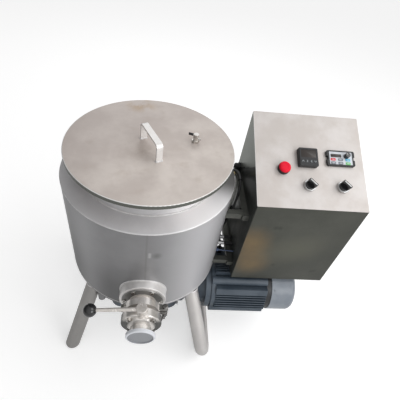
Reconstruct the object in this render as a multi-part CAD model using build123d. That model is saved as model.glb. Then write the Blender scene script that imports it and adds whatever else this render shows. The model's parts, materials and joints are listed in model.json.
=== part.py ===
from build123d import *
from math import atan, cos, degrees, hypot, pi, radians, sin, sqrt, tan
import os

# A small chocolate conche: a jacketed pot on splayed tube legs, a worm drive under it,
# a butterfly outlet valve in front and a control box on brackets at its right side.
# Millimetres, +Z up, floor at z = 0. The vessel's axis is x = y = 0 while the pieces are made.

# Fits
running_gap = 0.05
seat_gap = 0.1
free_gap = 0.4
weld_overlap = 1.0
match_tolerance = 1e-4

# Vessel
shell_radius = 215.0
shell_wall = 2.5
shell_bottom = 255.0
shell_height = 315.0
base_thickness = 4.0
base_rim = 9.5
base_edge = 3.0
shoulder_thickness = 2.5
shoulder_rise = 8.0
shoulder_edge = 1.5
jacket_width = 46.0
pot_wall = 2.5
pot_floor_lift = 54.0
pot_corner = 14.0

# Lid
lid_rise = 70.0
lid_overhang = 31.5
lid_sheet = 2.5
lid_lip = 10.0
lid_edge = 2.0
locator_depth = 14.0
locator_play = 1.5
handle_span = 96.0
handle_height = 45.0
handle_width = 15.0
handle_bar = 4.5
handle_bend = 11.0
handle_place = (1.7, -17.6)
handle_turn = -65.3

# Vent cock
vent_place = (107.6, 23.5)
vent_bore = 5.0
vent_hex = 9.5
vent_hex_height = 5.5
vent_body_radius = 6.5
vent_body_height = 14.0
vent_pin = 2.5
vent_hub_height = 7.0
vent_lever_reach = 19.0
vent_lever_turn = 160.0
vent_arm = 2.2
vent_sleeve = 3.2
vent_sleeve_start = 7.5
vent_spout = 3.0
vent_spout_reach = 12.0

# Agitator
shaft_radius = 15.0
sleeve_radius = 32.0
sleeve_upstand = 16.0
seal_radius = 24.0
seal_height = 8.0
hub_lift = 6.0
hub_radius = 27.0
hub_height = 34.0
cap_nut_height = 12.0
arm_height = 26.0
arm_thickness = 8.0
upright_width = 24.0
upright_thickness = 6.0
upright_inset = 20.0
upright_top = 205.0
tie_thickness = 6.0
tie_height = 18.0
scraper_thickness = 5.0
scraper_length = 150.0
scraper_gap = 1.5
scraper_angle = 32.0
floor_gap = 4.0

# Jacket heater, probe and drain
heater_lift = 76.0
heater_element = 5.0
heater_turn = -6.5
heater_spread = 2.8
heater_room = 5.0
heater_bush = 8.0
heater_bush_length = 9.0
heater_cap = 6.0
heater_cap_length = 9.0
probe_drop = 32.0
probe_turn = 8.8
probe_stem = 3.0
probe_thread = 6.0
probe_thread_grip = 7.5
probe_hex = 9.0
probe_hex_length = 5.0
probe_head = 5.5
probe_arm = 5.0
probe_head_reach = 10.0
drain_turn = -125.67
drain_inset = 14.4
drain_radius = 10.5
drain_bore = 7.5
drain_length = 44.0

# Outlet
outlet_bore = 24.0
outlet_sill = 0.5
nozzle_wall = 3.5
pad_radius = 58.8
pad_stand = 21.0
pad_edge = 1.5
flange_radius = 52.5
flange_thickness = 6.0
flange_sink = 3.0
flange_stub = 20.0
pipe_wall = 1.6
ferrule_radius = 32.0
ferrule_rim = 2.2
ferrule_taper = 3.8
gasket_thickness = 2.0
flange_bolts = 6
flange_bolt_circle = 46.0
bolt_shank = 3.0
bolt_head = 5.0
bolt_head_height = 6.0
bolt_socket = 2.9
bolt_socket_depth = 3.0
bolt_grip = 9.0

# Clamp
clamp_radius = 42.0
clamp_width = 17.0
clamp_split = 1.0
clamp_hinge_reach = 47.0
clamp_knuckle = 5.5
clamp_pin = 2.4
clamp_bolt_reach = 57.0
clamp_bolt_radius = 4.0
clamp_ear_width = 13.0
clamp_ear_top = 13.0
clamp_ear_bottom = 3.0
clamp_ear_root = 4.0
clamp_bolt_head = 7.0
clamp_bolt_head_height = 6.0
clamp_bolt_tail = 46.0
wing_hub = 7.5
wing_hub_height = 13.0
wing_reach = 19.0
wing_thickness = 4.5
wing_height = 17.0
wing_drop = 10.0
wing_slant = 2.0
wing_turn = -63.0

# Butterfly valve
valve_rear_length = 30.0
valve_front_length = 39.0
valve_radius = 49.0
valve_half_flange = 11.0
valve_edge = 2.0
valve_shoulder = 36.0
valve_shoulder_reach = 15.0
valve_neck_reach = 20.0
valve_bolts = 4
valve_bolt_circle = 41.0
valve_bolt_turn = 45.0
seat_width = 17.0
seat_thickness = 6.0
disc_gap = 0.35
disc_thickness = 5.0
disc_barrel = 8.0
stem_radius = 6.0
stem_foot = 44.0
boss_radius = 14.0
boss_top = 50.5
lever_hub = 13.5
lever_hub_height = 14.0
lever_rod = 5.5
lever_rod_end = 4.5
lever_reach = 119.0
lever_drop = 13.0
ball_radius = 16.0
ball_grip = 11.0

# Outlet cap
cap_wall = 3.0
cap_skirt = 3.5
cap_face = 4.5
cap_recess = 2.0
cap_rim = 5.0
cap_edge = 1.5

# Legs
leg_radius = 21.0
leg_wall = 2.0
leg_inset = 1.0
left_leg_turn = 44.5
left_leg_splay = 23.8
right_leg_turn = 46.0
foot_edge = 9.0
foot_sole = 5.0
rail_place = 200.0
rail_length = 540.0
rail_bend = 39.0

# Worm drive
gear_module = 4.0
wheel_teeth = 30
worm_pitch_radius = 22.0
tooth_play = 0.5
tooth_angle = 20.0
root_extra = 1.0
worm_turns = 6
wheel_width = 24.0
wheel_hub = 30.0
worm_journal = 12.5
worm_end_reach = 150.0
motor_shaft = 9.5
drive_plate_thickness = 9.0
drive_plate_radius = 88.0
housing_height = 124.0
worm_drop = 68.0
housing_left = 98.0
housing_right = 108.0
housing_front = 64.0
housing_back = 92.0
housing_corner = 30.0
housing_edge = 5.0
housing_wall = 14.0
chamber_play = 6.0
cover_rim = 12.0
cover_thickness = 9.0
cover_spigot = 8.0
housing_hole = 5.0
housing_hole_depth = 14.0
housing_hole_spread = 46.0

# Motor
adaptor_neck = 47.0
adaptor_flange = 58.0
adaptor_flange_length = 12.0
adaptor_end = 60.0
adaptor_wall = 9.0
shield_start = 187.0
shield_length = 13.5
shield_radius = 72.0
motor_length = 196.5
motor_turn = 20.0
motor_core = 60.0
joint_groove = 70.0
joint_groove_length = 4.0
end_bell = 74.0
end_bell_length = 12.0
motor_reach = 75.0
fin_thickness = 3.0
fin_pitch = 9.0
fin_corner = 81.0
fin_rows = 4
corner_bar = 13.0
corner_bar_place = 50.0
plate_seat_low = 15.0
plate_seat_high = 36.0
rotor_radius = 38.0
rotor_air_gap = 0.6
rotor_inset = 16.0
motor_end_wall = 18.0
end_ring_length = 16.0
fan_seat = 8.0
fan_cover_radius = 74.0
fan_cover_sheet = 1.7
fan_cover_length = 77.0
fan_cover_edge = 17.0
fan_radius = 57.0
fan_hub = 14.0
fan_blades = 7
fan_blade = 2.5
fan_width = 26.0
fan_inset = 10.0
grille_rings = 4
grille_start = 16.0
grille_pitch = 11.0
grille_slot = 6.0
grille_spoke = 8.0
grille_bars = 3
terminal_length = 72.0
terminal_depth = 42.0
terminal_height = 60.0
terminal_start = 25.0
terminal_reach = 82.0
terminal_lift = 2.0
terminal_edge = 6.0
terminal_lid = 9.0
terminal_groove = 1.0

# Control box
box_gap = 39.7
box_width = 275.6
box_front = 116.9
box_depth = 230.5
box_lift = 13.0
box_front_height = 304.0
box_slope = 25.6
box_sheet = 1.5
box_edge = 2.5
box_lip = 14.0
vent_slots = 6
vent_slot_length = 70.0
vent_slot_width = 4.0
vent_slot_pitch = 13.0
vent_slot_lift = 60.0
inverter_width = 84.0
inverter_depth = 118.0
inverter_height = 150.0
inverter_edge = 4.0
inverter_fins = 7
inverter_fin_depth = 30.0
inverter_fin_slot = 5.0
inverter_back_room = 24.0

# Brackets between vessel and box
bracket_bar = 16.0
bracket_wall = 2.0
bracket_length = 186.0
bracket_arm_spread = 79.0
bracket_lifts = (37.0, 234.0)

# Panel instruments, as places across and up the slope from its lower left corner
lamp_place = (68.4, 99.5)
controller_place = (129.5, 130.6)
keypad_place = (214.5, 134.9)
knob_place = (228.5, 140.4)
selector_places = ((130.7, 59.5), (214.4, 59.8))
device_neck = 11.0
device_bezel = 14.8
lamp_bezel_height = 5.0
lamp_depth = 40.0
lens_radius = 14.3
lens_height = 11.0
lens_edge = 4.5
lens_spigot = 9.5
lens_spigot_depth = 4.0
controller_size = 48.0
controller_stand = 13.0
controller_edge = 3.0
controller_body = 44.6
controller_depth = 78.0
controller_window = (38.0, 21.0)
controller_window_lift = 8.0
controller_window_depth = 1.2
keypad_size = (71.0, 40.5)
keypad_stand = 7.0
keypad_corner = 4.0
keypad_body = (60.0, 32.0)
keypad_depth = 16.0
keypad_notch = (3.0, 9.0)
keypad_rim = 3.2
keypad_recess = 0.8
knob_radius = 6.6
knob_height = 10.5
knob_spigot = 3.0
knob_spigot_depth = 5.0
knob_flutes = 16
knob_flute = 0.7
selector_bezel_height = 7.0
selector_depth = 30.0
selector_block = (30.0, 40.0, 32.0)
selector_spigot = 5.0
selector_spigot_depth = 6.0
selector_disc = 12.4
selector_disc_height = 5.0
selector_bar = (25.0, 7.5, 13.0)
selector_bar_edge = 2.4
selector_turn = 135.0

# Cables and glands
gland_hex = 11.5
gland_hex_length = 6.0
gland_dome = 9.0
gland_dome_length = 10.0
gland_thread = 8.0
gland_thread_length = 10.0
gland_nut_length = 5.0
gland_bore = 4.0
conduit_radius = 6.0
motor_cord_radius = 3.2
probe_lead_radius = 5.0
heater_lead_radius = 4.0
earth_radius = 1.6
earth_lug = 5.0
earth_lug_length = 6.0
earth_turn = -17.0
earth_lift = 76.0
lead_play = 1.0
motor_gland = (88.0, 254.0)
probe_gland = (52.0, 117.0)
supply_gland = (60.0, 40.0)
terminal_gland_back = 25.0
bend_share = 0.45
conduit_lead_in = 20.0
conduit_drop = 32.0
conduit_bends = 6
conduit_route = (
    (15.5, 62.0, 0.863), (25.4, 46.0, 0.892), (23.0, 22.0, 0.924), (16.1, -8.0, 0.949),
    (12.5, -26.0, 0.930), (11.8, -32.0, 0.851), (11.1, -31.0, 0.765), (11.0, -30.0, 0.686),
    (9.7, -18.0, 0.533), (8.0, -3.0, 0.352), (8.4, 20.0, 0.222), (9.9, 29.0, 0.095),
)
probe_lead_in = 20.0
probe_lead_out = 14.0
probe_lead_route = (
    (11.3, -11.0, 0.835), (10.3, -12.0, 0.752), (9.1, -8.0, 0.651), (8.1, 6.0, 0.543),
    (7.5, 26.0, 0.467), (8.0, 42.0, 0.425),
)

# Heights and radii that follow from the sizes above
shoulder_height = shell_bottom + shell_height
shoulder_seat = shoulder_height - shoulder_thickness
pot_floor = shell_bottom + pot_floor_lift
neck_radius = shell_radius - jacket_width
pot_inner = neck_radius - pot_wall
lid_top = shoulder_height + lid_rise
lid_seat = lid_top - lid_sheet
lid_radius = neck_radius + lid_overhang
jacket_middle = (neck_radius + shell_radius - shell_wall) / 2
leg_seat = shell_radius - leg_radius - leg_inset
drain_reach = shell_radius - drain_inset
drain_place = (drain_reach * cos(radians(drain_turn)), drain_reach * sin(radians(drain_turn)))
heater_height = shell_bottom + heater_lift
heater_turns = (heater_turn - heater_spread, heater_turn + heater_spread)
probe_height = shoulder_height - probe_drop
earth_height = shell_bottom + earth_lift
probe_axis = shell_radius + seat_gap + probe_hex_length + probe_arm
sleeve_top = pot_floor + sleeve_upstand
hub_bottom = sleeve_top + seal_height + hub_lift
hub_top = hub_bottom + hub_height
outlet_height = pot_floor + outlet_bore + outlet_sill
nozzle_radius = outlet_bore + nozzle_wall
pipe_radius = outlet_bore + pipe_wall
pad_front = shell_radius + pad_stand
flange_back = pad_front - flange_sink
flange_front = flange_back + flange_thickness
ferrule_face = flange_front + flange_stub
clamp_middle = ferrule_face + gasket_thickness / 2
valve_back = ferrule_face + gasket_thickness
stem_place = valve_back + valve_rear_length
valve_front = stem_place + valve_front_length
seat_outer = outlet_bore + seat_thickness
disc_radius = outlet_bore - disc_gap
hub_start = boss_top + free_gap
wheel_pitch_radius = gear_module * wheel_teeth / 2
gear_centre = wheel_pitch_radius + worm_pitch_radius
worm_lead = pi * gear_module
worm_tip = worm_pitch_radius + gear_module
worm_root = worm_pitch_radius - gear_module - root_extra
wheel_tip = wheel_pitch_radius + gear_module
wheel_root = wheel_pitch_radius - gear_module - root_extra
chamber_radius = wheel_tip + chamber_play
worm_room = worm_tip + chamber_play / 2
housing_top = shell_bottom - drive_plate_thickness
housing_bottom = housing_top - housing_height
drive_height = housing_top - worm_drop
motor_start = shield_start + shield_length
motor_end = motor_start + motor_length
fan_cover_start = motor_end - fan_seat
fan_cover_end = fan_cover_start + fan_cover_length
box_left = shell_radius + box_gap
box_right = box_left + box_width
box_back = box_depth - box_front
box_bottom = shell_bottom + box_lift
box_front_top = box_bottom + box_front_height
panel_length = box_depth / cos(radians(box_slope))
box_back_top = box_front_top + box_depth * tan(radians(box_slope))
terminal_left = motor_start + terminal_start
terminal_face = terminal_reach - gear_centre
terminal_top = drive_height + terminal_lift + terminal_height / 2
gland_reach = gland_hex_length + gland_dome_length

# Frames: the outlet looks to the front, the drive to the right, the panel up its slope
outlet_frame = Plane(origin=(0, 0, outlet_height), x_dir=(1, 0, 0), z_dir=(0, -1, 0))
drive_frame = Plane(origin=(0, -gear_centre, drive_height), x_dir=(0, 1, 0), z_dir=(1, 0, 0))
panel_normal = (0, -sin(radians(box_slope)), cos(radians(box_slope)))
panel_frame = Plane(origin=(box_left, -box_front, box_front_top), x_dir=(1, 0, 0), z_dir=panel_normal)
rear_frame = Plane(origin=(box_right, box_back, box_bottom), x_dir=(-1, 0, 0), z_dir=(0, 1, 0))
standing = (Align.CENTER, Align.CENTER, Align.MIN)
lying = Rot(-90, 0, 0)


def rod(radius, start, end):
    return Pos(0, 0, start) * Cylinder(radius, end - start, align=standing)


def ring(outer, inner, start, end):
    return rod(outer, start, end) - rod(inner, start, end)


def slab(low, high):
    size = [high[i] - low[i] for i in range(3)]
    middle = [(high[i] + low[i]) / 2 for i in range(3)]
    return Pos(*middle) * Box(*size)


def prism(sketch, start, end):
    return Pos(0, 0, start) * extrude(sketch, amount=end - start)


def turned(points):
    return revolve(Plane.XZ * Polygon(*points, align=None), Axis.Z)


def spread(count, start_angle=0.0):
    return [Rot(0, 0, start_angle + 360.0 * i / count) for i in range(count)]


def group(solids):
    return Compound([solid for shape in solids for solid in shape.solids()])


def radial_frame(angle, height):
    outward = (cos(radians(angle)), sin(radians(angle)), 0)
    across = (-sin(radians(angle)), cos(radians(angle)), 0)
    return Plane(origin=(0, 0, height), x_dir=across, z_dir=outward)


def edge_at(part, height, radius):
    circles = part.edges().filter_by(GeomType.CIRCLE)
    level = [e for e in circles if abs(e.center().Z - height) < match_tolerance]
    return [e for e in level if abs(e.radius - radius) < match_tolerance]


# Vessel

def outer_shell():
    wall = ring(shell_radius, shell_radius - shell_wall, shell_bottom + base_rim, shoulder_seat)
    wall -= outlet_frame * rod(nozzle_radius + seat_gap, 0, pad_front)
    wall -= radial_frame(probe_turn, probe_height) * rod(probe_thread + seat_gap, 0, pad_front)
    for place in heater_places():
        wall -= place * rod(heater_element + seat_gap, 0, pad_front)
    return wall


def shoulder_ring():
    inner = neck_radius + seat_gap
    plate = turned([
        (inner, shoulder_seat + shoulder_rise),
        (shell_radius, shoulder_seat),
        (shell_radius, shoulder_height),
        (inner, shoulder_height + shoulder_rise),
    ])
    return fillet(edge_at(plate, shoulder_height, shell_radius), shoulder_edge)


def jacket_base():
    inner = sleeve_radius + seat_gap
    dish = turned([
        (inner, shell_bottom),
        (shell_radius, shell_bottom),
        (shell_radius, shell_bottom + base_rim),
        (shell_radius - shell_wall, shell_bottom + base_rim),
        (shell_radius - shell_wall, shell_bottom + base_thickness),
        (inner, shell_bottom + base_thickness),
    ])
    dish = fillet(edge_at(dish, shell_bottom, shell_radius), base_edge)
    return dish - Pos(*drain_place, 0) * rod(drain_bore, 0, shoulder_height)


def pot_outside():
    body = rod(neck_radius, pot_floor - pot_wall, lid_seat)
    return fillet(edge_at(body, pot_floor - pot_wall, neck_radius), pot_corner)


def inner_pot():
    hollow = rod(pot_inner, pot_floor, lid_top)
    hollow = fillet(edge_at(hollow, pot_floor, pot_inner), pot_corner - pot_wall)
    pot = pot_outside() - hollow
    pot -= rod(sleeve_radius + seat_gap, 0, pot_floor + pot_wall)
    return pot - outlet_frame * rod(outlet_bore, pot_inner / 2, shell_radius)


def shaft_sleeve():
    return ring(sleeve_radius, shaft_radius + running_gap, shell_bottom, sleeve_top)


def shaft_seal():
    seal = ring(seal_radius, shaft_radius + running_gap, sleeve_top, sleeve_top + seal_height)
    return chamfer(edge_at(seal, sleeve_top + seal_height, seal_radius), shoulder_edge)


def heater_places():
    return [radial_frame(turn, heater_height) for turn in heater_turns]


def immersion_heater():
    loop_height = outlet_height - nozzle_radius - heater_room - heater_element
    section = Plane.XZ * Pos(jacket_middle, loop_height) * Circle(heater_element)
    loop = Rot(0, 0, heater_turns[1]) * revolve(section, Axis.Z, 360.0 - 2 * heater_spread)
    bush_end = shell_radius + heater_bush_length
    for turn, place in zip(heater_turns, heater_places()):
        foot = Rot(0, 0, turn) * Pos(jacket_middle, 0, 0)
        loop += foot * rod(heater_element, loop_height, heater_height)
        loop += foot * Pos(0, 0, heater_height) * Sphere(heater_element)
        loop += foot * Pos(0, 0, loop_height) * Sphere(heater_element)
        loop += place * rod(heater_element, jacket_middle, bush_end)
        loop += place * prism(RegularPolygon(heater_bush, 6), shell_radius + seat_gap, bush_end)
        loop += place * rod(heater_cap, bush_end, bush_end + heater_cap_length)
    return loop


def temperature_probe():
    seat = shell_radius + seat_gap
    head_top = probe_axis + probe_head
    probe = rod(probe_stem, jacket_middle, seat)
    probe += rod(probe_thread, shell_radius - probe_thread_grip, seat)
    probe += prism(RegularPolygon(probe_hex, 6), seat, seat + probe_hex_length)
    head = rod(probe_head, seat, head_top)
    probe += fillet(edge_at(head, head_top, probe_head), pad_edge)
    probe += Pos(0, 0, probe_axis) * Rot(0, -90, 0) * rod(probe_arm, 0, probe_head_reach)
    return radial_frame(probe_turn, probe_height) * probe


def drain_socket():
    low = shell_bottom - drain_length
    socket = ring(drain_radius, drain_bore, low, shell_bottom)
    socket = chamfer(edge_at(socket, low, drain_radius), shoulder_edge)
    return Pos(*drain_place, 0) * socket


# Lid, its handle and its vent cock

def lid():
    plate = turned([
        (0, lid_seat),
        (lid_radius - lid_sheet, lid_seat),
        (lid_radius - lid_sheet, lid_top - lid_lip),
        (lid_radius, lid_top - lid_lip),
        (lid_radius, lid_top),
        (0, lid_top),
    ])
    plate = fillet(edge_at(plate, lid_top, lid_radius), lid_edge)
    locator = pot_inner - locator_play
    plate += ring(locator, locator - lid_sheet, lid_seat - locator_depth, lid_seat)
    return plate - Pos(*vent_place, 0) * rod(vent_bore, lid_seat, lid_top)


def lid_handle():
    outside = Pos(0, handle_height / 2) * Rectangle(handle_span, handle_height)
    outside = fillet(outside.vertices().group_by(Axis.Y)[-1], handle_bend)
    inside_height = handle_height - handle_bar
    inside = Pos(0, inside_height / 2) * Rectangle(handle_span - 2 * handle_bar, inside_height)
    inside = fillet(inside.vertices().group_by(Axis.Y)[-1], handle_bend - handle_bar)
    bar = extrude(Plane.XZ * (outside - inside), amount=handle_width / 2, both=True)
    return Pos(*handle_place, lid_top) * Rot(0, 0, handle_turn) * bar


def vent_frame():
    return Pos(*vent_place, lid_top)


def vent_cock_body():
    pin_top = vent_body_height + free_gap + vent_hub_height
    cock = prism(RegularPolygon(vent_hex, 6), 0, vent_hex_height)
    cock += rod(vent_body_radius, vent_hex_height, vent_body_height)
    cock += rod(vent_pin, vent_body_height, pin_top)
    cock += rod(vent_bore - seat_gap, -lid_sheet - vent_hex_height, 0)
    spout = Rot(0, 90, 0) * rod(vent_spout, 0, vent_spout_reach)
    spout_height = (vent_hex_height + vent_body_height) / 2
    cock += Pos(0, 0, spout_height) * Rot(0, 0, vent_lever_turn - 180) * spout
    return vent_frame() * cock


def vent_cock_lever():
    low = vent_body_height + free_gap
    hub = rod(vent_body_radius, low, low + vent_hub_height)
    arm = rod(vent_arm, 0, vent_lever_reach)
    sleeve = rod(vent_sleeve, vent_sleeve_start, vent_lever_reach)
    sleeve = fillet(edge_at(sleeve, vent_lever_reach, vent_sleeve), vent_sleeve / 2)
    arm_height_here = low + vent_sleeve + free_gap
    lever = hub + Pos(0, 0, arm_height_here) * Rot(0, 90, 0) * (arm + sleeve)
    lever -= rod(vent_pin + running_gap, 0, low + vent_hub_height)
    return vent_frame() * Rot(0, 0, vent_lever_turn) * lever


# Agitator

def agitator_shaft():
    shaft = rod(shaft_radius, housing_bottom, hub_top)
    shaft += prism(RegularPolygon(shaft_radius, 6), hub_top, hub_top + cap_nut_height)
    return shaft


def upright_place():
    return pot_inner - upright_inset


def agitator_frame():
    reach = upright_place() + upright_thickness / 2
    arm_low = hub_bottom
    arm_high = arm_low + arm_height
    arm = slab((-reach, -arm_thickness / 2, arm_low), (reach, arm_thickness / 2, arm_high))
    frame = arm + rod(hub_radius, hub_bottom, hub_top)
    foot = pot_floor + floor_gap + pot_corner
    top = pot_floor + upright_top
    for side in (-1, 1):
        middle = side * upright_place()
        low = (middle - upright_thickness / 2, -upright_width / 2, foot)
        high = (middle + upright_thickness / 2, upright_width / 2, top)
        frame += slab(low, high)
    tie_low = top - tie_height
    frame += slab((-reach, -tie_thickness / 2, tie_low), (reach, tie_thickness / 2, top))
    return frame - rod(shaft_radius, 0, hub_top)


def scraper_blades():
    tilt = radians(scraper_angle)
    start = upright_place() + upright_thickness / 2 + seat_gap
    room = pot_inner - scraper_gap - start
    low = pot_floor + upright_top - scraper_length - tie_height
    leaf = Polygon((0, -upright_width / 2), (room, -upright_width / 2 - room * tan(tilt) / 2),
                   (room, -upright_width / 2 - room * tan(tilt) / 2 + scraper_thickness),
                   (scraper_thickness, upright_width / 2), (0, upright_width / 2), align=None)
    side = Pos(start, 0, low) * extrude(leaf, amount=scraper_length)
    floor_low = pot_floor + floor_gap
    inner = sleeve_radius + pot_corner
    outer = upright_place() - pot_corner
    half = scraper_thickness / 2
    floor_blade = slab((inner, -half, floor_low), (outer, half, hub_bottom))
    return group([turn * blade for turn in spread(2) for blade in (side, floor_blade)])


# Outlet

def bolt_holes(count, circle, radius, start, end, start_angle=0.0):
    return [turn * Pos(circle, 0, 0) * rod(radius, start, end) for turn in spread(count, start_angle)]


def outlet_pad():
    block = rod(pad_radius, neck_radius, pad_front)
    block = fillet(edge_at(block, pad_front, pad_radius), pad_edge)
    pad = outlet_frame * block - rod(shell_radius, 0, lid_top)
    pad += outlet_frame * rod(nozzle_radius, pot_inner / 2, pad_front) - pot_outside()
    pad -= outlet_frame * rod(outlet_bore, 0, pad_front)
    pad -= outlet_frame * rod(flange_radius + seat_gap, flange_back, pad_front)
    hole_end = flange_back - bolt_grip - seat_gap
    for hole in bolt_holes(flange_bolts, flange_bolt_circle, bolt_shank + seat_gap, hole_end, flange_back):
        pad -= outlet_frame * hole
    return pad


def outlet_flange():
    flange = turned([
        (outlet_bore, flange_back),
        (flange_radius, flange_back),
        (flange_radius, flange_front - pad_edge),
        (flange_radius - pad_edge, flange_front),
        (pipe_radius, flange_front),
        (pipe_radius, ferrule_face - ferrule_rim - ferrule_taper),
        (ferrule_radius, ferrule_face - ferrule_rim),
        (ferrule_radius, ferrule_face),
        (outlet_bore, ferrule_face),
    ])
    holes = bolt_holes(flange_bolts, flange_bolt_circle, bolt_shank + seat_gap, 0, valve_front)
    sunk = flange_front - bolt_head_height / 2
    holes += bolt_holes(flange_bolts, flange_bolt_circle, bolt_head + seat_gap, sunk, valve_front)
    for hole in holes:
        flange -= hole
    return outlet_frame * flange


def socket_bolt(seat, grip):
    bolt = rod(bolt_shank, seat - grip, seat) + rod(bolt_head, seat, seat + bolt_head_height)
    socket_floor = seat + bolt_head_height - bolt_socket_depth
    return bolt - prism(RegularPolygon(bolt_socket, 6), socket_floor, seat + bolt_head_height)


def socket_bolts():
    flange_bolt = socket_bolt(flange_front - bolt_head_height / 2, bolt_grip)
    solids = [outlet_frame * turn * Pos(flange_bolt_circle, 0, 0) * flange_bolt
              for turn in spread(flange_bolts)]
    valve_bolt = socket_bolt(stem_place + valve_half_flange, 2 * valve_half_flange - valve_edge)
    solids += [outlet_frame * turn * Pos(valve_bolt_circle, 0, 0) * valve_bolt
               for turn in spread(valve_bolts, valve_bolt_turn)]
    return group(solids)


def outlet_seals():
    gasket = ring(ferrule_radius - seat_gap, outlet_bore, ferrule_face, valve_back)
    half = seat_width / 2
    seat = ring(seat_outer, outlet_bore, stem_place - half, stem_place + half)
    stem_hole = stem_radius + free_gap
    seat -= Pos(0, 0, stem_place) * lying * rod(stem_hole, -valve_radius, valve_radius)
    return outlet_frame * group([gasket, seat])


# Clamp with its swing bolt and wing nut

def clamp_ring():
    half = clamp_width / 2
    lip = pipe_radius + 2 * free_gap
    groove = gasket_thickness / 2 + ferrule_rim + free_gap
    taper = groove + ferrule_taper
    return Pos(0, 0, clamp_middle) * turned([
        (lip, -half), (clamp_radius, -half), (clamp_radius, half), (lip, half),
        (lip, taper), (ferrule_radius + free_gap, groove),
        (ferrule_radius + free_gap, -groove), (lip, -taper),
    ])


def clamp_half(side):
    half_width = clamp_width / 2
    far = clamp_bolt_reach + clamp_ear_width
    low = (-far, clamp_split / 2, clamp_middle - half_width)
    high = (far, clamp_radius + far, clamp_middle + half_width)
    half = clamp_ring() & slab(low, high)
    ear_half = clamp_ear_width / 2
    ear = slab((clamp_radius - clamp_ear_root, clamp_ear_bottom, clamp_middle - ear_half),
               (clamp_bolt_reach, clamp_ear_top, clamp_middle + ear_half))
    ear += Pos(clamp_bolt_reach, 0, clamp_middle) * lying * rod(ear_half, clamp_ear_bottom, clamp_ear_top)
    half += ear
    half -= Pos(clamp_bolt_reach, 0, clamp_middle) * lying * rod(
        clamp_bolt_radius + seat_gap, 0, clamp_ear_top)
    thirds = clamp_width / 6
    knuckles = [(-thirds + seat_gap, thirds - seat_gap)]
    if side < 0:
        knuckles = [(-half_width, -thirds - seat_gap), (thirds + seat_gap, half_width)]
    clear = clamp_knuckle + free_gap
    half -= Pos(-clamp_hinge_reach, 0, 0) * rod(clear, 0, valve_front)
    for start, end in knuckles:
        web = slab((-clamp_hinge_reach, 0, start), (weld_overlap - clamp_radius, clamp_knuckle, end))
        knuckle = Pos(0, 0, clamp_middle) * (Pos(-clamp_hinge_reach, 0, 0) * rod(clamp_knuckle, start, end))
        half += knuckle + Pos(0, 0, clamp_middle) * web
    half -= Pos(-clamp_hinge_reach, 0, 0) * rod(clamp_pin + seat_gap, 0, valve_front)
    if side < 0:
        half = mirror(half, about=Plane.XZ)
    return half


def clamp_halves():
    half_width = clamp_width / 2
    pin = Pos(-clamp_hinge_reach, 0, clamp_middle) * rod(clamp_pin, -half_width, half_width)
    return outlet_frame * group([clamp_half(1), clamp_half(-1), pin])


def clamp_axis():
    return Pos(clamp_bolt_reach, 0, clamp_middle) * lying


def clamp_bolt():
    head_top = clamp_ear_top + clamp_bolt_head_height
    bolt = rod(clamp_bolt_radius, -clamp_bolt_tail, clamp_ear_top)
    head = rod(clamp_bolt_head, clamp_ear_top, head_top)
    head = fillet(edge_at(head, head_top, clamp_bolt_head), clamp_bolt_head_height / 3)
    return outlet_frame * clamp_axis() * (bolt + head)


def clamp_wing_nut():
    top = -clamp_ear_top - seat_gap
    bottom = top - wing_hub_height
    nut = rod(wing_hub, bottom, top)
    shoulder = wing_reach - wing_thickness
    outline = Polygon((0, top - wing_drop / 2), (shoulder, top - wing_drop),
                      (wing_reach, top - wing_drop - wing_thickness), (wing_reach, top - wing_height),
                      (shoulder, top - wing_height - wing_slant), (0, bottom), align=None)
    outline = fillet(outline.vertices().sort_by(Axis.X)[2:], wing_thickness / 3)
    wing = extrude(Plane.XZ * outline, amount=wing_thickness / 2, both=True)
    wings = [turn * wing for turn in spread(2, -wing_turn)]
    nut = nut + wings - rod(clamp_bolt_radius + running_gap, -clamp_bolt_tail, top)
    return outlet_frame * clamp_axis() * nut


# Butterfly valve

def valve_side(length):
    return [
        (valve_radius, valve_half_flange - valve_edge),
        (valve_radius - valve_edge, valve_half_flange),
        (valve_shoulder, valve_half_flange),
        (valve_shoulder - valve_edge, valve_shoulder_reach),
        (pipe_radius, valve_neck_reach),
        (pipe_radius, length - ferrule_rim - ferrule_taper),
        (ferrule_radius, length - ferrule_rim),
        (ferrule_radius, length),
        (outlet_bore, length),
    ]


def valve_body():
    rear = [(radius, -place) for radius, place in reversed(valve_side(valve_rear_length))]
    body = turned(valve_side(valve_front_length) + rear)
    body += lying * rod(boss_radius, 0, boss_top)
    body -= rod(outlet_bore, -valve_rear_length, valve_front_length)
    body -= rod(seat_outer + seat_gap, -seat_width / 2 - seat_gap, seat_width / 2 + seat_gap)
    body -= lying * rod(stem_radius + running_gap, -stem_foot - free_gap, boss_top)
    hole_start = valve_edge - valve_half_flange - seat_gap
    holes = bolt_holes(valve_bolts, valve_bolt_circle, bolt_shank + seat_gap, hole_start,
                       valve_half_flange, valve_bolt_turn)
    for hole in holes:
        body -= hole
    return body


def valve_half(low, high):
    far = valve_radius + boss_top
    half = valve_body() & slab((-far, -far, low), (far, far, high))
    return outlet_frame * Pos(0, 0, stem_place) * half


def valve_body_rear():
    return valve_half(-valve_rear_length, 0)


def valve_body_front():
    return valve_half(0, valve_front_length)


def stem_frame():
    return outlet_frame * Pos(0, 0, stem_place)


def valve_disc():
    plate = rod(disc_radius, -disc_thickness / 2, disc_thickness / 2)
    barrel = lying * rod(disc_barrel, -disc_radius, disc_radius)
    disc = (plate + barrel) & Sphere(disc_radius)
    disc += lying * rod(stem_radius, -stem_foot, hub_start + lever_hub_height / 2)
    return stem_frame() * disc


def lever_line():
    start_height = hub_start + lever_hub_height / 2
    length = hypot(lever_reach, lever_drop)
    tilt = degrees(atan(lever_drop / lever_reach))
    return start_height, length, tilt


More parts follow.
